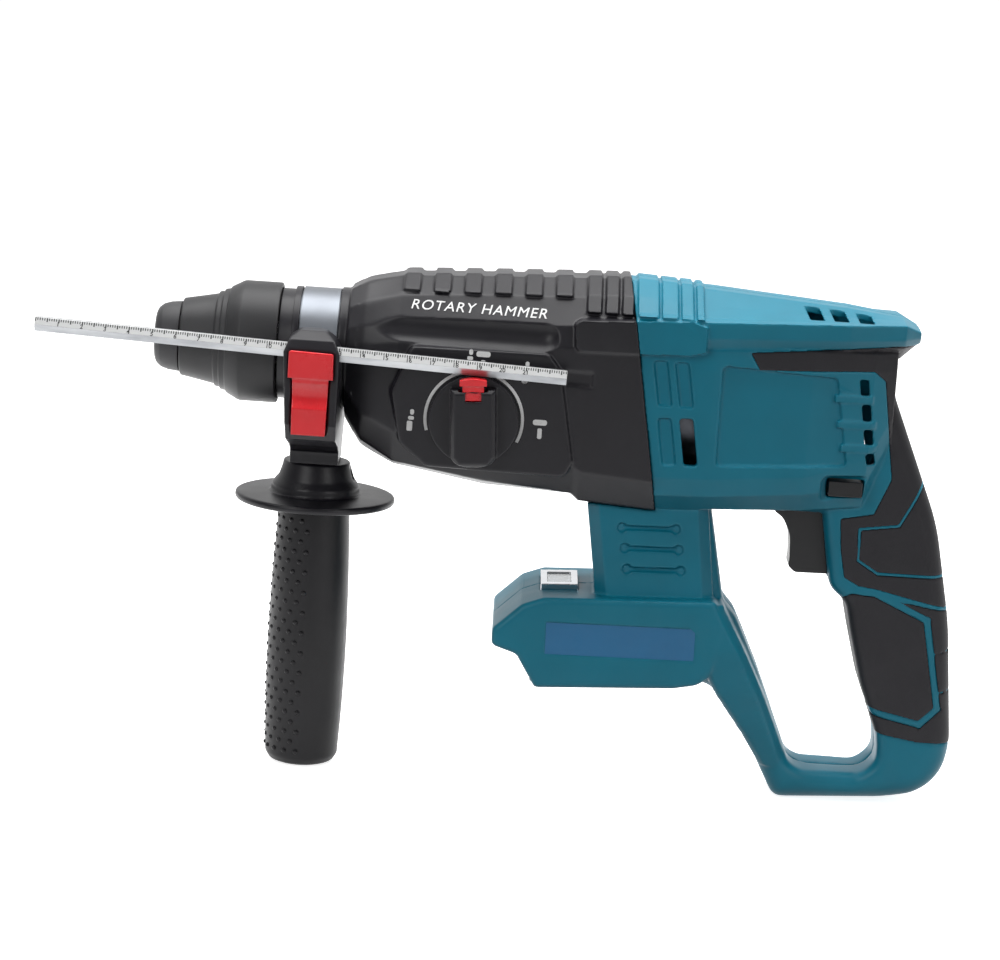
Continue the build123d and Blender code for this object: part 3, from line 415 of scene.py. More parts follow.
@dataclass(frozen=True)
class Clear:
    """A moulded clear lens."""

    name: str
    tint: tuple[int, int, int] = (240, 244, 248)

    def build(self) -> bpy.types.Material:
        """Makes the material: clear, with a faint ripple."""
        shader = Shader(self.name)
        ripple = shader.noise(500.0)
        shader.set(Base_Color=linear(*self.tint), Roughness=0.06, IOR=1.49, Transmission_Weight=0.85)
        shader.set(Normal=shader.bump(ripple, 0.00002, 0.4), Coat_Weight=0.4)
        return shader.material


class Finishes:
    """Every finish of the tool, made once and handed out by name."""

    def __init__(self) -> None:
        """Builds them all."""
        turned = (8.0, 1.0, 1.0)
        makers = [
            Moulded("blue_shell", (8, 119, 143), roughness=0.42, grain=2400, depth=0.000035, worn=0.25,
                    specular=0.32),
            Moulded("black_shell", (27, 26, 31), roughness=0.36, grain=2400, depth=0.00003, worn=0.2,
                    specular=0.3),
            Moulded("chuck_black", (38, 38, 40), roughness=0.46, grain=2800, worn=0.2, specular=0.35),
            Moulded("nose_rubber", (36, 36, 39), roughness=0.55, grain=2200, sheen=0.1),
            Moulded("grip_rubber", (25, 24, 29), roughness=0.58, grain=1500, depth=0.00005, sheen=0.06,
                    pebbled=True, specular=0.3),
            Moulded("side_rubber", (13, 12, 16), roughness=0.42, grain=1800, depth=0.00003, sheen=0.02,
                    specular=0.28),
            Moulded("badge", (8, 106, 156), roughness=0.38, grain=3200, depth=0.00001, worn=0.05),
            Moulded("red_plastic", (255, 34, 46), roughness=0.28, grain=3600, depth=0.00001, worn=0.1,
                    coat=0.25),
            Moulded("trigger_plastic", (25, 25, 27), roughness=0.36, grain=2400, worn=0.2, specular=0.3),
            Moulded("seal_rubber", (26, 26, 28), roughness=0.5),
            Moulded("potting", (22, 24, 28), roughness=0.2, grain=300, depth=0.0001, worn=0.0),
            Metal("steel", (196, 199, 202), roughness=0.27, lay=turned),
            # A darker copy of the steel for the collar and the clamp strap: painted shade, toned down against the
            # strong overhead light.
            Metal("collar_steel_shade_darkened", (122, 126, 132), roughness=0.42, lay=turned, blotch=0.02),
            Metal("gauge_steel", (176, 178, 180), roughness=0.3, lay=(0.06, 1, 1)),
            Metal("bearing_steel", (200, 202, 205), roughness=0.12, blotch=0.04),
            Metal("zinc_steel", (180, 182, 186), roughness=0.32, blotch=0.12),
            Metal("spring_steel", (112, 114, 120), roughness=0.3),
            Metal("bronze", (176, 126, 78), roughness=0.42, scratch=0.00003),
            Metal("cast_alloy", (168, 170, 174), roughness=0.5, scratch=0.00005),
            Metal("aluminium", (190, 192, 196), roughness=0.3, lay=turned),
            Metal("lamination", (96, 98, 104), roughness=0.45, lay=(30.0, 1, 1), scratch=0.00004),
            Metal("copper", (190, 100, 56), roughness=0.25, lay=(1, 12, 12), scratch=0.00006),
            Metal("brass", (204, 172, 92), roughness=0.25),
            Metal("chrome", (216, 218, 222), roughness=0.1, blotch=0.03),
            Clear("lens"),
            Printed("white_ink", (226, 226, 226)),
            Printed("black_ink", (32, 32, 34)),
            ScaledRod(),
        ]
        self.by_name = {maker.name: maker.build() for maker in makers}

    def give(self, piece: bpy.types.Object, name: str) -> None:
        """Makes a finish the piece's only material."""
        piece.data.materials.clear()
        piece.data.materials.append(self.by_name[name])


# ---- modelling helpers -----------------------------------------------------------------------


def only(piece: bpy.types.Object) -> bpy.types.Object:
    """Selects that object alone and makes it active."""
    bpy.ops.object.select_all(action="DESELECT")
    piece.select_set(True)
    bpy.context.view_layer.objects.active = piece
    return piece


def modified(piece: bpy.types.Object, kind: str, **settings: Any) -> None:
    """Adds a modifier with those settings and applies it.

    Args:
        piece: The mesh object.
        kind: The modifier's type.
        settings: Its properties.
    """
    only(piece)
    modifier = piece.modifiers.new(kind.lower(), kind)
    for key, value in settings.items():
        setattr(modifier, key, value)
    bpy.ops.object.modifier_apply(modifier=modifier.name)


def in_edit(piece: bpy.types.Object, work: Callable[[], None], everything: bool = True) -> None:
    """Runs some edit-mode operators on a piece.

    Args:
        piece: The mesh object.
        work: What to do in edit mode.
        everything: Whether all of the mesh is selected first.
    """
    only(piece)
    bpy.ops.object.mode_set(mode="EDIT")
    if everything:
        bpy.ops.mesh.select_all(action="SELECT")
    work()
    bpy.ops.object.mode_set(mode="OBJECT")


def settled(piece: bpy.types.Object) -> bpy.types.Object:
    """Moves a piece's place into its mesh."""
    only(piece)
    bpy.ops.object.transform_apply(location=True, rotation=True, scale=True)
    return piece


def merged(pieces: Sequence[bpy.types.Object], name: str) -> bpy.types.Object:
    """Joins several objects into one with that name."""
    bpy.ops.object.select_all(action="DESELECT")
    for piece in pieces:
        piece.select_set(True)
    bpy.context.view_layer.objects.active = pieces[0]
    if len(pieces) > 1:
        bpy.ops.object.join()
    whole = bpy.context.view_layer.objects.active
    whole.name = whole.data.name = name
    return whole


def box_piece(name: str, low: Point, high: Point, corner: float = 0.0, segments: int = 2) -> bpy.types.Object:
    """A block with rounded edges.

    Args:
        name: The object's name.
        low: Lowest corner, in metres.
        high: Highest corner.
        corner: Edge radius.
        segments: Segments of the rounding.

    Returns:
        The block, its place in its mesh.
    """
    middle = [(a + b) / 2 for a, b in zip(low, high)]
    bpy.ops.object.select_all(action="DESELECT")
    bpy.ops.mesh.primitive_cube_add(size=1.0, location=middle)
    piece = bpy.context.active_object
    piece.name = piece.data.name = name
    piece.scale = [b - a for a, b in zip(low, high)]
    settled(piece)
    if corner:
        modified(piece, "BEVEL", width=corner, segments=segments, limit_method="ANGLE")
    return piece


def turned(name: str, profile: Sequence[tuple[float, float]], axis: Axis, centre: Point = (0, 0, 0),
           edge: float = 0.0003, steps: int = 96) -> bpy.types.Object:
    """A lathe-turned ring or body: a circle drawn out along its axis, point by point.

    Args:
        name: The object's name.
        profile: (place along the axis, radius) points in millimetres. The last may equal the first.
        axis: The axis it is turned about.
        centre: A point on that axis, in metres.
        edge: Radius of its hard edges.
        steps: Sides of the circle.

    Returns:
        The turned piece.
    """
    bpy.ops.object.select_all(action="DESELECT")
    start, radius = profile[0][0] * MM, profile[0][1] * MM
    bpy.ops.mesh.primitive_circle_add(vertices=steps, radius=radius, location=(0, 0, start))
    piece = bpy.context.active_object
    piece.name = piece.data.name = name
    settled(piece)

    def draw() -> None:
        """Extrudes the rim along the profile."""
        at, now = start, radius
        for place, wide in profile[1:]:
            bpy.ops.mesh.extrude_edges_move(TRANSFORM_OT_translate={"value": (0, 0, place * MM - at)})
            share = wide * MM / now
            bpy.ops.transform.resize(value=(share, share, 1), center_override=(0, 0, 0))
            at, now = place * MM, wide * MM
        bpy.ops.mesh.select_all(action="SELECT")
        bpy.ops.mesh.remove_doubles(threshold=1e-6)
        bpy.ops.mesh.normals_make_consistent(inside=False)

    in_edit(piece, draw)
    if axis is Axis.X:
        piece.rotation_euler = (0, math.pi / 2, 0)
    elif axis is Axis.Y:
        piece.rotation_euler = (-math.pi / 2, 0, 0)
    piece.location = centre
    settled(piece)
    if edge:
        modified(piece, "BEVEL", width=edge, segments=3, limit_method="ANGLE", angle_limit=math.radians(14))
    only(piece)
    bpy.ops.object.shade_smooth_by_angle(angle=math.radians(40))
    return piece


def softened(node: str, name: str, voxel: float, corner: Corner, most: int = 120000) -> bpy.types.Object:
    """A copy of a CAD node with its hard edges rounded.

    Args:
        node: The node to copy.
        name: The new object's name.
        voxel: Size of the even mesh it is rebuilt in, in metres.
        corner: How round the edges become.
        most: Triangles that it may keep.

    Returns:
        The softened copy.
    """
    source = bpy.data.objects[node] if node in bpy.data.objects else FRAME["nodes"][node]
    piece = bpy.data.objects.new(name, source.data.copy())
    piece.data.name = name
    piece.data.materials.clear()
    bpy.context.scene.collection.objects.link(piece)
    in_edit(piece, lambda: bpy.ops.mesh.remove_doubles(threshold=2e-6))
    modified(piece, "REMESH", mode="VOXEL", voxel_size=voxel, adaptivity=0.0)
    modified(piece, "SMOOTH", factor=0.5, iterations=corner.value)
    count = sum(len(face.vertices) - 2 for face in piece.data.polygons)
    if count > most:
        modified(piece, "DECIMATE", ratio=most / count)
    only(piece)
    bpy.ops.object.shade_smooth()
    return piece


def eased(piece: bpy.types.Object, weight: Callable[[Vector], float], passes: int) -> None:
    """Smooths a piece further where a weight says so.

    Args:
        piece: The mesh object.
        weight: How much each point is smoothed, from 0 to 1, by its place.
        passes: Smoothing passes.
    """
    group = piece.vertex_groups.new(name="eased")
    for vertex in piece.data.vertices:
        share = weight(vertex.co)
        if share > 0:
            group.add([vertex.index], share, "REPLACE")
    modified(piece, "SMOOTH", factor=0.5, iterations=passes, vertex_group=group.name)
    piece.vertex_groups.clear()


def laid_on(piece: bpy.types.Object, surface: bpy.types.Object, lift: float) -> None:
    """Drops a thin flat piece onto a surface, along Y.

    Args:
        piece: The flat piece, dense enough to follow the surface.
        surface: What it lies on.
        lift: How far it stands proud.
    """
    piece.location.y -= 0.06
    settled(piece)
    modified(piece, "SHRINKWRAP", target=surface, wrap_method="PROJECT", use_project_y=True,
             use_positive_direction=True, use_negative_direction=False, offset=lift)


# ---- sub-assemblies --------------------------------------------------------------------------


@dataclass
class Assembly:
    """What every sub-assembly has: the finishes, and the pieces it has made."""

    finishes: Finishes
    pieces: list[bpy.types.Object] = field(default_factory=list)

    def dress(self, piece: bpy.types.Object, body: str, finish: str, *nodes: str,
              slot: str = "") -> bpy.types.Object:
        """Finishes a piece and fixes it to its body.

        Args:
            piece: The object.
            body: The CAD body that it moves with.
            finish: The finish's name.
            nodes: The CAD nodes that it stands for.
            slot: The record's slot, where it isn't the finish's name; not used.

        Returns:
            The same object.
        """
        self.finishes.give(piece, finish)
        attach(piece, body)
        if nodes:
            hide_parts(*nodes)
        self.pieces.append(piece)
        LOG.info("%s: %d faces on %s", piece.name, len(piece.data.polygons), body)
        return piece


@dataclass
class Chuck(Assembly):
    """Nose cap, sliding sleeve, dust ring and the steel collar behind them."""

    nose: tuple[tuple[float, float], ...] = (
        (-0.1, 9.4), (-0.1, 6.0), (-1.5, 6.0), (-1.5, 10.6), (-0.6, 12.4), (1.4, 14.0), (4.6, 15.0),
        (9.4, 15.5), (9.4, 9.4), (-0.1, 9.4))
    sleeve: tuple[tuple[float, float], ...] = (
        (12.2, 15.9), (10.2, 15.9), (9.8, 16.3), (10.3, 17.0), (18.0, 18.5), (25.0, 19.9), (25.6, 20.9),
        (27.6, 21.2), (28.0, 22.1), (30.2, 22.5), (30.7, 23.4), (35.6, 26.1), (36.8, 26.5), (52.4, 26.5),
        (53.0, 26.1), (53.0, 24.6), (36.2, 24.6), (31.6, 21.4), (31.6, 14.3), (29.6, 14.3), (29.6, 18.6), (12.2, 15.9))
    ring: tuple[tuple[float, float], ...] = (
        (53.2, 22.2), (53.2, 23.9), (53.5, 24.2), (59.2, 24.2), (59.2, 25.5), (62.0, 25.5), (62.0, 24.1),
        (60.1, 24.1), (60.1, 12.8), (57.6, 12.8), (57.6, 22.2), (53.2, 22.2))
    collar: tuple[tuple[float, float], ...] = (
        (60.3, 19.05), (60.3, 23.4), (60.8, 24.0), (96.0, 24.0), (96.0, 19.05), (60.3, 19.05))

    def build(self) -> None:
        """Turns the four rings."""
        self.dress(turned("nose_cap_turned", self.nose, Axis.X, edge=0.0004), "spindle", "nose_rubber",
                   "nose_cap")
        sleeve = turned("chuck_sleeve_turned", self.sleeve, Axis.X, edge=0.00035)
        self.dress(sleeve, "chuck_sleeve", "chuck_black", "chuck_sleeve")
        self.dress(turned("dust_ring_turned", self.ring, Axis.X), "housing", "black_shell", "dust_ring")
        self.dress(turned("barrel_collar_turned", self.collar, Axis.X), "housing", "collar_steel_shade_darkened",
                   "barrel_collar", slot="steel")


@dataclass
class GearCase(Assembly):
    """The black gear housing and everything printed on it."""

    voxel: float = 0.0006
    lettering: str = "ROTARY HAMMER"
    letter_height: float = 0.0052
    letter_start: float = 0.1105
    letter_base: float = 0.0230
    letter_rise: float = -0.0002
    letter_length: float = 0.0585
    letter_probe: float = 0.003
    print_lift: float = 0.00016
    dial: Point = (0.1405, -0.0395, -0.0215)
    case: bpy.types.Object | None = None

    def build(self) -> None:
        """Makes the case, then its prints."""
        case = softened("gear_housing", "gear_housing_moulded", self.voxel, Corner.MOULDED, 190000)
        eased(case, self.flank_weight, 40)
        self.case = self.dress(case, "housing", "black_shell", "gear_housing")
        self.print_lettering()
        self.print_arc()
        self.print_icons()

    @staticmethod
    def flank_weight(place: Vector) -> float:
        """Where the case flows smoothly: its front dome and belly, clear of the ribs and the dial field."""
        front = min(1.0, max(0.0, (0.112 - place.x) / 0.02))
        belly = min(1.0, max(0.0, (-0.046 - place.z) / 0.004)) * (0.8 if place.x < 0.176 else 0.0)
        collar = 0.0 if place.x < 0.0875 else 1.0
        return max(front, belly) * collar

    def surface_point(self, x: float, z: float) -> Vector:
        """Where a line along +Y first meets the case."""
        hit, where, _, _ = self.case.ray_cast((x, -0.2, z), (0, 1, 0))
        if not hit:
            raise ValueError(f"no surface at {x}, {z}")
        return where

    def print_lettering(self) -> None:
        """Generic lettering along the upper flank, laid on its surface."""
        bpy.ops.object.select_all(action="DESELECT")
        bpy.ops.object.text_add()
        text = bpy.context.active_object
        text.data.body = self.lettering
        text.data.shear = 0.22
        text.data.space_character = 1.12
        only(text)
        bpy.ops.object.convert(target="MESH")
        text = bpy.context.active_object
        text.name = text.data.name = "flank_lettering"
        xs = [v.co.x for v in text.data.vertices]
        ys = [v.co.y for v in text.data.vertices]
        span = Vector((self.letter_length, 0, self.letter_rise))
        x, z = self.letter_start + span.x / 2, self.letter_base + span.z / 2
        middle, high = self.surface_point(x, z), self.surface_point(x, z + self.letter_probe)
        up = (high - middle).normalized()
        along = (span - up * span.dot(up)).normalized()
        out = along.cross(up).normalized()
        width, height = max(xs) - min(xs), max(ys) - min(ys)
        columns = (along * span.length / width, up * self.letter_height / height, out)
        shape = Matrix(columns).transposed().to_4x4()
        shape.translation = middle - shape.to_3x3() @ Vector(((max(xs) + min(xs)) / 2, min(ys), 0))
        text.matrix_world = shape
        settled(text)
        in_edit(text, lambda: bpy.ops.mesh.subdivide(number_cuts=2))
        laid_on(text, self.case, self.print_lift)
        modified(text, "SOLIDIFY", thickness=0.0002, offset=0.0)
        in_edit(text, lambda: bpy.ops.mesh.normals_make_consistent(inside=False))
        self.dress(text, "housing", "white_ink", slot="black_shell")

    def print_arc(self) -> None:
        """The arc round the dial that joins the three positions."""
        inner, outer, sweep, first = 0.0203, 0.0216, math.radians(222), math.radians(-25)
        bpy.ops.object.select_all(action="DESELECT")
        bpy.ops.mesh.primitive_plane_add(size=1.0)
        arc = bpy.context.active_object
        arc.name = arc.data.name = "dial_arc"
        arc.scale = (outer - inner, 1, 1)
        arc.location = ((inner + outer) / 2, 0, 0)
        settled(arc)

        def sweep_round() -> None:
            """Flattens the plane to one edge and spins it."""
            bpy.ops.transform.resize(value=(1, 0, 1), center_override=(0, 0, 0))
            bpy.ops.mesh.remove_doubles(threshold=1e-6)
            bpy.ops.mesh.select_all(action="SELECT")
            bpy.ops.mesh.spin(steps=64, angle=-sweep, center=(0, 0, 0), axis=(0, 0, 1))
            bpy.ops.mesh.select_all(action="SELECT")
            bpy.ops.mesh.remove_doubles(threshold=1e-7)

        in_edit(arc, sweep_round)
        self.finish_print(arc, first)

    def finish_print(self, flat: bpy.types.Object, turn: float = 0.0) -> None:
        """Gives a flat print in XY its thickness and stands it round the dial's centre."""
        modified(flat, "SOLIDIFY", thickness=0.00008, offset=0.0)
        in_edit(flat, lambda: bpy.ops.mesh.normals_make_consistent(inside=False))
        flat.matrix_world = (
            Matrix.Translation(Vector(self.dial) + Vector((0, -0.00006, 0)))
            @ Matrix.Rotation(math.pi / 2, 4, "X") @ Matrix.Rotation(turn, 4, "Z"))
        settled(flat)
        self.dress(flat, "housing", "white_ink", slot="black_shell")

    def mark(self, x: float, z: float, width: float, height: float,
             corner: float = 0.0006) -> bpy.types.Object:
        """One flat printed bar with rounded corners, its middle at x, z from the dial's centre."""
        bpy.ops.object.select_all(action="DESELECT")
        bpy.ops.mesh.primitive_plane_add(size=1.0, location=(x, z, 0))
        bar = bpy.context.active_object
        bar.scale = (width, height, 1)
        settled(bar)
        radius = min(corner, width * 0.45, height * 0.45)
        in_edit(bar, lambda: bpy.ops.mesh.bevel(offset=radius, segments=4, affect="VERTICES"))
        return bar

    def hammer_icon(self, x: float, z: float) -> list[bpy.types.Object]:
        """Hammering only: a head above a handle."""
        return [self.mark(x, z + 0.0028, 0.0061, 0.0024, 0.0010),
                self.mark(x + 0.0001, z - 0.0020, 0.0019, 0.0046)]

    def drill_icon(self, x: float, z: float) -> list[bpy.types.Object]:
        """Drilling: a short fluted bit, point upwards."""
        bars = [self.mark(x + 0.0005, z + 0.0034, 0.0017, 0.0024, 0.0008)]
        bars.append(self.mark(x + 0.0002, z + 0.0008, 0.0025, 0.0016, 0.0006))
        bars.append(self.mark(x - 0.0003, z - 0.0027, 0.0024, 0.0043))
        return bars

    def print_icons(self) -> None:
        """The mode symbols round the dial."""
        bars = self.drill_icon(-0.0271, -0.0020) + self.hammer_icon(0.0285, -0.0024)
        bars += self.drill_icon(-0.0034, 0.0256) + self.hammer_icon(0.0024, 0.0256)
        bars += self.drill_icon(0.0210, 0.0219)
        self.finish_print(merged(bars, "mode_symbols"))


@dataclass
class MotorHousing(Assembly):
    """The two blue shells and their rubber."""

    voxel: float = 0.0006

    def build(self) -> None:
        """Softens both halves alike."""
        for side in ("left", "right"):
            shell = softened(f"{side}_motor_housing", f"{side}_shell", self.voxel, Corner.CRISP, 195000)
            eased(shell, self.limb_weight, 20)
            self.dress(shell, "housing", "blue_shell", f"{side}_motor_housing")
            rubber = softened(f"{side}_grip_rubber", f"{side}_rubber", 0.0005, Corner.CRISP, 110000)
            self.dress(rubber, "housing", "grip_rubber", f"{side}_grip_rubber")

    @staticmethod
    def limb_weight(place: Vector) -> float:
        """Where the shell flows: the strut, the foot and the column's foot."""
        return min(1.0, max(0.0, (place.x - 0.236) / 0.012)) if place.z < -0.1 else 0.0


@dataclass
class SideHandle(Assembly):
    """Clamp, flange and grip."""

    axis_x: float = 0.072
    nub_rows: int = 24
    nub_columns: int = 8
    nub_top: float = -0.0765
    nub_rise: float = 0.00455
    nub_first: float = 118.0
    nub_turn: float = 19.5
    nub_radius: float = 0.0006

    def build(self) -> None:
        """Makes the clamp, the flange and the nubbed grip."""
        clamp = softened("clamp_body", "clamp_moulded", 0.0005, Corner.WORN, 110000)
        self.dress(clamp, "side_clamp", "black_shell", "clamp_body")
        lock = softened("gauge_lock_button", "gauge_lock_moulded", 0.00028, Corner.MOULDED, 60000)
        self.dress(lock, "gauge_lock", "red_plastic", "gauge_lock_button")
        flange = softened("grip_flange", "grip_flange_moulded", 0.0006, Corner.MOULDED, 100000)
        self.dress(flange, "side_grip", "black_shell", "grip_flange")
        self.dress(self.grip(), "side_grip", "side_rubber", "side_grip")
        self.dress(self.nubs(), "side_grip", "side_rubber")

    def grip(self) -> bpy.types.Object:
        """The grip's turned rubber with its smooth back panel."""
        return softened("side_grip", "side_grip_moulded", 0.0007, Corner.MOULDED, 110000)

    def radius_at(self, z: float) -> float:
        """The grip's radius at a height, in metres."""
        steps = [(-0.0694, 0.0154), (-0.092, 0.0166), (-0.128, 0.0175), (-0.156, 0.0173), (-0.178, 0.0165)]
        for (z0, r0), (z1, r1) in zip(steps, steps[1:]):
            if z0 >= z >= z1:
                return r0 + (r1 - r0) * (z - z0) / (z1 - z0)
        return steps[-1][1]

    def nubs(self) -> bpy.types.Object:
        """Staggered nubs round the grip's front, largest where they face outwards."""
        bpy.ops.object.select_all(action="DESELECT")
        bpy.ops.mesh.primitive_ico_sphere_add(subdivisions=2, radius=1.0)
        model = bpy.context.active_object
        only(model)
        bpy.ops.object.shade_smooth()
        made = []
        for row in range(self.nub_rows):
            z = self.nub_top - row * self.nub_rise
            for column in range(self.nub_columns):
                angle = math.radians(self.nub_first + self.nub_turn * (column + (0.5 if row % 2 else 0.0)))
                radius = self.radius_at(z) - 0.0001
                wide = self.nub_radius * (1.5 - 0.5 * math.sin(angle))
                nub = model.copy()
                nub.data = model.data.copy()
                bpy.context.scene.collection.objects.link(nub)
                out = Vector((math.cos(angle), math.sin(angle), 0))
                nub.matrix_world = (
                    Matrix.Translation(Vector((self.axis_x, 0, z)) + out * radius)
                    @ Matrix.Rotation(angle, 4, "Z") @ Matrix.Diagonal((wide * 0.8, wide, wide, 1)))
                made.append(nub)
        bpy.data.objects.remove(model)
        bpy.context.view_layer.update()
        whole = merged(made, "grip_nubs")
        return settled(whole)


@dataclass
class DepthGauge(Assembly):
    """The hexagonal rod with its ruled facet and numbers."""

    slope: float = math.radians(2.1)
    front: Point = (-0.0485, -0.045, 0.0084)
    across: float = 0.006
    length: float = 0.2275

    def build(self) -> None:
        """Finishes the rod and prints its numbers."""
        self.finishes.give(FRAME["nodes"]["depth_gauge"], "gauge_steel_ruled")
        facet = Vector((0, -math.cos(math.radians(30)), math.sin(math.radians(30))))
        turn = Matrix.Rotation(self.slope, 3, "Y")
        along, out = turn @ Vector((1, 0, 0)), turn @ facet
        up = out.cross(along)
        made = []
        for centimetre in range(1, int(self.length / 0.01)):
            bpy.ops.object.select_all(action="DESELECT")
            bpy.ops.object.text_add()
            text = bpy.context.active_object
            text.data.body = str(centimetre)
            text.data.align_x = "CENTER"
            text.data.size = 0.0027
            text.data.extrude = 0.00002
            text.data.offset = 0.00004
            text.data.resolution_u = 3
            only(text)
            bpy.ops.object.convert(target="MESH")
            text = bpy.context.active_object
            shape = Matrix((along, up, out)).transposed().to_4x4()
            shape.translation = (
                Vector(self.front) + along * (centimetre * 0.01) + out * (self.across / 2 + 0.00003) - up * 0.0016)
            text.matrix_world = shape
            made.append(text)
        bpy.context.view_layer.update()
        numbers = settled(merged(made, "gauge_numbers"))
        self.dress(numbers, "depth_gauge", "black_ink", slot="gauge_steel")


@dataclass
class Controls(Assembly):
    """Mode dial, its lock, the trigger and the reversing bar."""

    def build(self) -> None:
        """Softens each control."""
        dial = softened("mode_dial", "mode_dial_moulded", 0.00035, Corner.MOULDED, 120000)
        self.dress(dial, "mode_dial", "black_shell", "mode_dial")
        lock = softened("dial_lock_button", "dial_lock_moulded", 0.0002, Corner.CRISP, 40000)
        self.dress(lock, "dial_lock", "red_plastic", "dial_lock_button")
        trigger = softened("trigger", "trigger_moulded", 0.0004, Corner.WORN, 80000)
        self.dress(trigger, "trigger", "trigger_plastic", "trigger")
        bar = softened("reversing_bar", "reversing_bar_moulded", 0.0004, Corner.MOULDED, 60000)
        self.dress(bar, "reversing_bar", "trigger_plastic", "reversing_bar")


@dataclass
class WorkLamp(Assembly):
    """Chrome bezel, lens and the light-emitting chip under it."""

    def build(self) -> None:
        """Softens the bezel and adds the chip."""
        bezel = softened("lamp_bezel", "lamp_bezel_plated", 0.00025, Corner.CRISP, 60000)
        self.dress(bezel, "housing", "chrome", "lamp_bezel")
        low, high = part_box("lamp_lens")
        middle = (Vector(low) + Vector(high)) / 2
        chip = box_piece("lamp_chip", (middle.x - 0.0024, -0.0024, middle.z - 0.0021),
                         (middle.x + 0.0024, 0.0024, middle.z - 0.0012), 0.0003)
        self.dress(chip, "housing", "white_ink", slot="lens")


class Internals(Assembly):
    """Every CAD node that keeps its own shape gets its real finish."""

    ruled_rod: str = "depth_gauge"

    def build(self) -> None:
        """Gives each remaining node the finish of its record slot, and the strap the collar's."""
        slots = {entry["node"]: entry["material_slot"] for entry in FRAME["record"]["subparts"]}
        # The strap takes the collar's darker steel, which is painted shade.
        slots["clamp_strap"] = "collar_steel_shade_darkened"
        for node, obj in FRAME["nodes"].items():
            if node != self.ruled_rod:
                self.finishes.give(obj, slots[node])


# ---- studio ----------------------------------------------------------------------------------


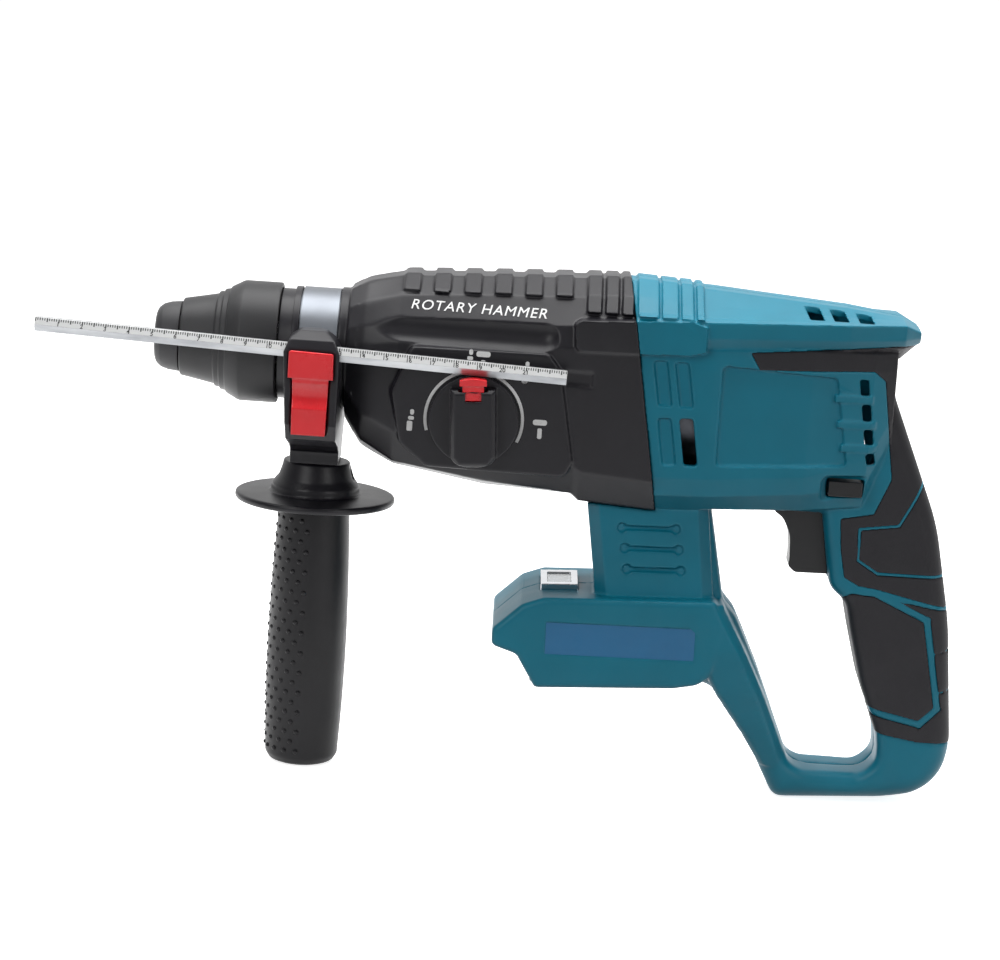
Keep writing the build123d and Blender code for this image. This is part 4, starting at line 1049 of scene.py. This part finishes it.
@dataclass
class Studio:
    """Pale floor, soft lights and the camera.

    The tent's two rows are: dark up to, bright from, the strength where dark and the strength where bright.
    """

    floor_z: float
    distance: float = 1.45
    elevation: float = math.radians(11)
    roll: float = math.radians(3.8)
    origin_left: float = 0.1496
    origin_above: float = 0.06402
    focal: float = 118.6
    table_glow: float = 0.8
    tent_depth: tuple[float, ...] = (-0.2, 0.6, 0.2, 1.05)
    tent_height: tuple[float, ...] = (-0.6, -0.15, 0.2, 1.0)

    def build(self) -> None:
        """Sets up the whole studio."""
        self.floor()
        self.lights()
        self.camera()

    def floor(self) -> None:
        """A light table under the tool, lit from within behind it."""
        bpy.ops.object.select_all(action="DESELECT")
        bpy.ops.mesh.primitive_plane_add(size=9.0, location=(0.15, 0, self.floor_z - 0.0002))
        floor = bpy.context.active_object
        floor.name = floor.data.name = "floor"
        settled(floor)
        shader = Shader("light_table")
        depth = shader.part(shader.position(), Axis.Y)
        glow = shader.mix(depth.ramp(-0.4, -0.08), (0.0, 0.0, 0.0, 1), (1.0, 1.0, 1.0, 1))
        shader.set(Base_Color=(0.9, 0.9, 0.9, 1), Roughness=0.8, Specular_IOR_Level=0.1)
        shader.set(Emission_Color=glow, Emission_Strength=self.table_glow)
        floor.data.materials.append(shader.material)
        floor.visible_diffuse = False
        floor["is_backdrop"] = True

    def soft_box(self, name: str, place: Point, aim: Point, size: tuple[float, float], power: float) -> None:
        """Adds one rectangular light.

        Args:
            name: The light's name.
            place: Where it stands.
            aim: What it points at.
            size: Width and height, in metres.
            power: Watts.
        """
        data = bpy.data.lights.new(name, "AREA")
        data.shape = "RECTANGLE"
        data.size, data.size_y = size
        data.energy = power
        light = bpy.data.objects.new(name, data)
        light.location = place
        light.rotation_euler = (Vector(aim) - Vector(place)).to_track_quat("-Z", "Y").to_euler()
        bpy.context.scene.collection.objects.link(light)

    def lights(self) -> None:
        """A wide overhead box a little behind the tool, a weak front fill, and a tent that is bright behind."""
        middle = (0.15, 0.0, -0.05)
        self.soft_box("overhead", (0.15, 0.1, 0.95), middle, (1.6, 0.8), 19.5)
        self.soft_box("front_left", (-0.7, -1.3, 0.75), middle, (0.7, 0.9), 7.6)
        self.soft_box("front_right", (1.1, -1.2, 0.45), middle, (0.5, 0.9), 4.8)
        world = bpy.data.worlds.new("tent")
        world.use_nodes = True
        tree = world.node_tree
        background = tree.nodes["Background"]
        place = tree.nodes.new("ShaderNodeTexCoord")
        apart = tree.nodes.new("ShaderNodeSeparateXYZ")
        tree.links.new(place.outputs["Generated"], apart.inputs[0])
        both = tree.nodes.new("ShaderNodeMath")
        both.operation = "MULTIPLY"
        for index, (part, numbers) in enumerate((("Y", self.tent_depth), ("Z", self.tent_height))):
            ramp = tree.nodes.new("ShaderNodeMapRange")
            tree.links.new(apart.outputs[part], ramp.inputs[0])
            for socket, number in enumerate(numbers, start=1):
                ramp.inputs[socket].default_value = number
            tree.links.new(ramp.outputs[0], both.inputs[index])
        tree.links.new(both.outputs[0], background.inputs["Strength"])
        background.inputs["Color"].default_value = (1.0, 1.0, 1.0, 1)
        bpy.context.scene.world = world
        bpy.context.scene.view_settings.view_transform = "Standard"

    def camera(self) -> None:
        """A long lens, looking along +Y from a little above, rolled so that the spindle falls to the rear."""
        ce, se = math.cos(self.elevation), math.sin(self.elevation)
        cr, sr = math.cos(self.roll), math.sin(self.roll)
        look = Vector((0, ce, -se))
        level, rise = Vector((1, 0, 0)), Vector((0, se, ce))
        right = level * cr + rise * sr
        up = rise * cr - level * sr
        place = right * self.origin_left - up * self.origin_above - look * self.distance
        data = bpy.data.cameras.new("camera")
        data.lens = self.focal
        data.sensor_width = 36.0
        data.dof.use_dof = False
        camera = bpy.data.objects.new("camera", data)
        shape = Matrix((right, up, -look)).transposed().to_4x4()
        shape.translation = place
        camera.matrix_world = shape
        bpy.context.scene.collection.objects.link(camera)
        bpy.context.scene.camera = camera


FRAME: dict[str, Any] = {}


def boxes(corners: Iterable[Vector]) -> list[list[float]]:
    """Corners as plain lists."""
    return [[float(value) for value in corner] for corner in corners]


def main() -> None:
    """Loads the frame, builds every sub-assembly on it and stands the floor at the model's lowest point."""
    logging.basicConfig(level=logging.INFO, format="%(message)s")
    FRAME.update(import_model())
    cad_box = boxes(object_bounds())
    bpy.ops.object.select_all(action="DESELECT")
    finishes = Finishes()
    Internals(finishes).build()
    for assembly in (Chuck(finishes), GearCase(finishes), MotorHousing(finishes), SideHandle(finishes),
                     DepthGauge(finishes), Controls(finishes), WorkLamp(finishes)):
        assembly.build()
        LOG.info("%s: %d pieces", type(assembly).__name__, len(assembly.pieces))
    Studio(floor_z=cad_box[0][2]).build()


if __name__ == "__main__":
    main()
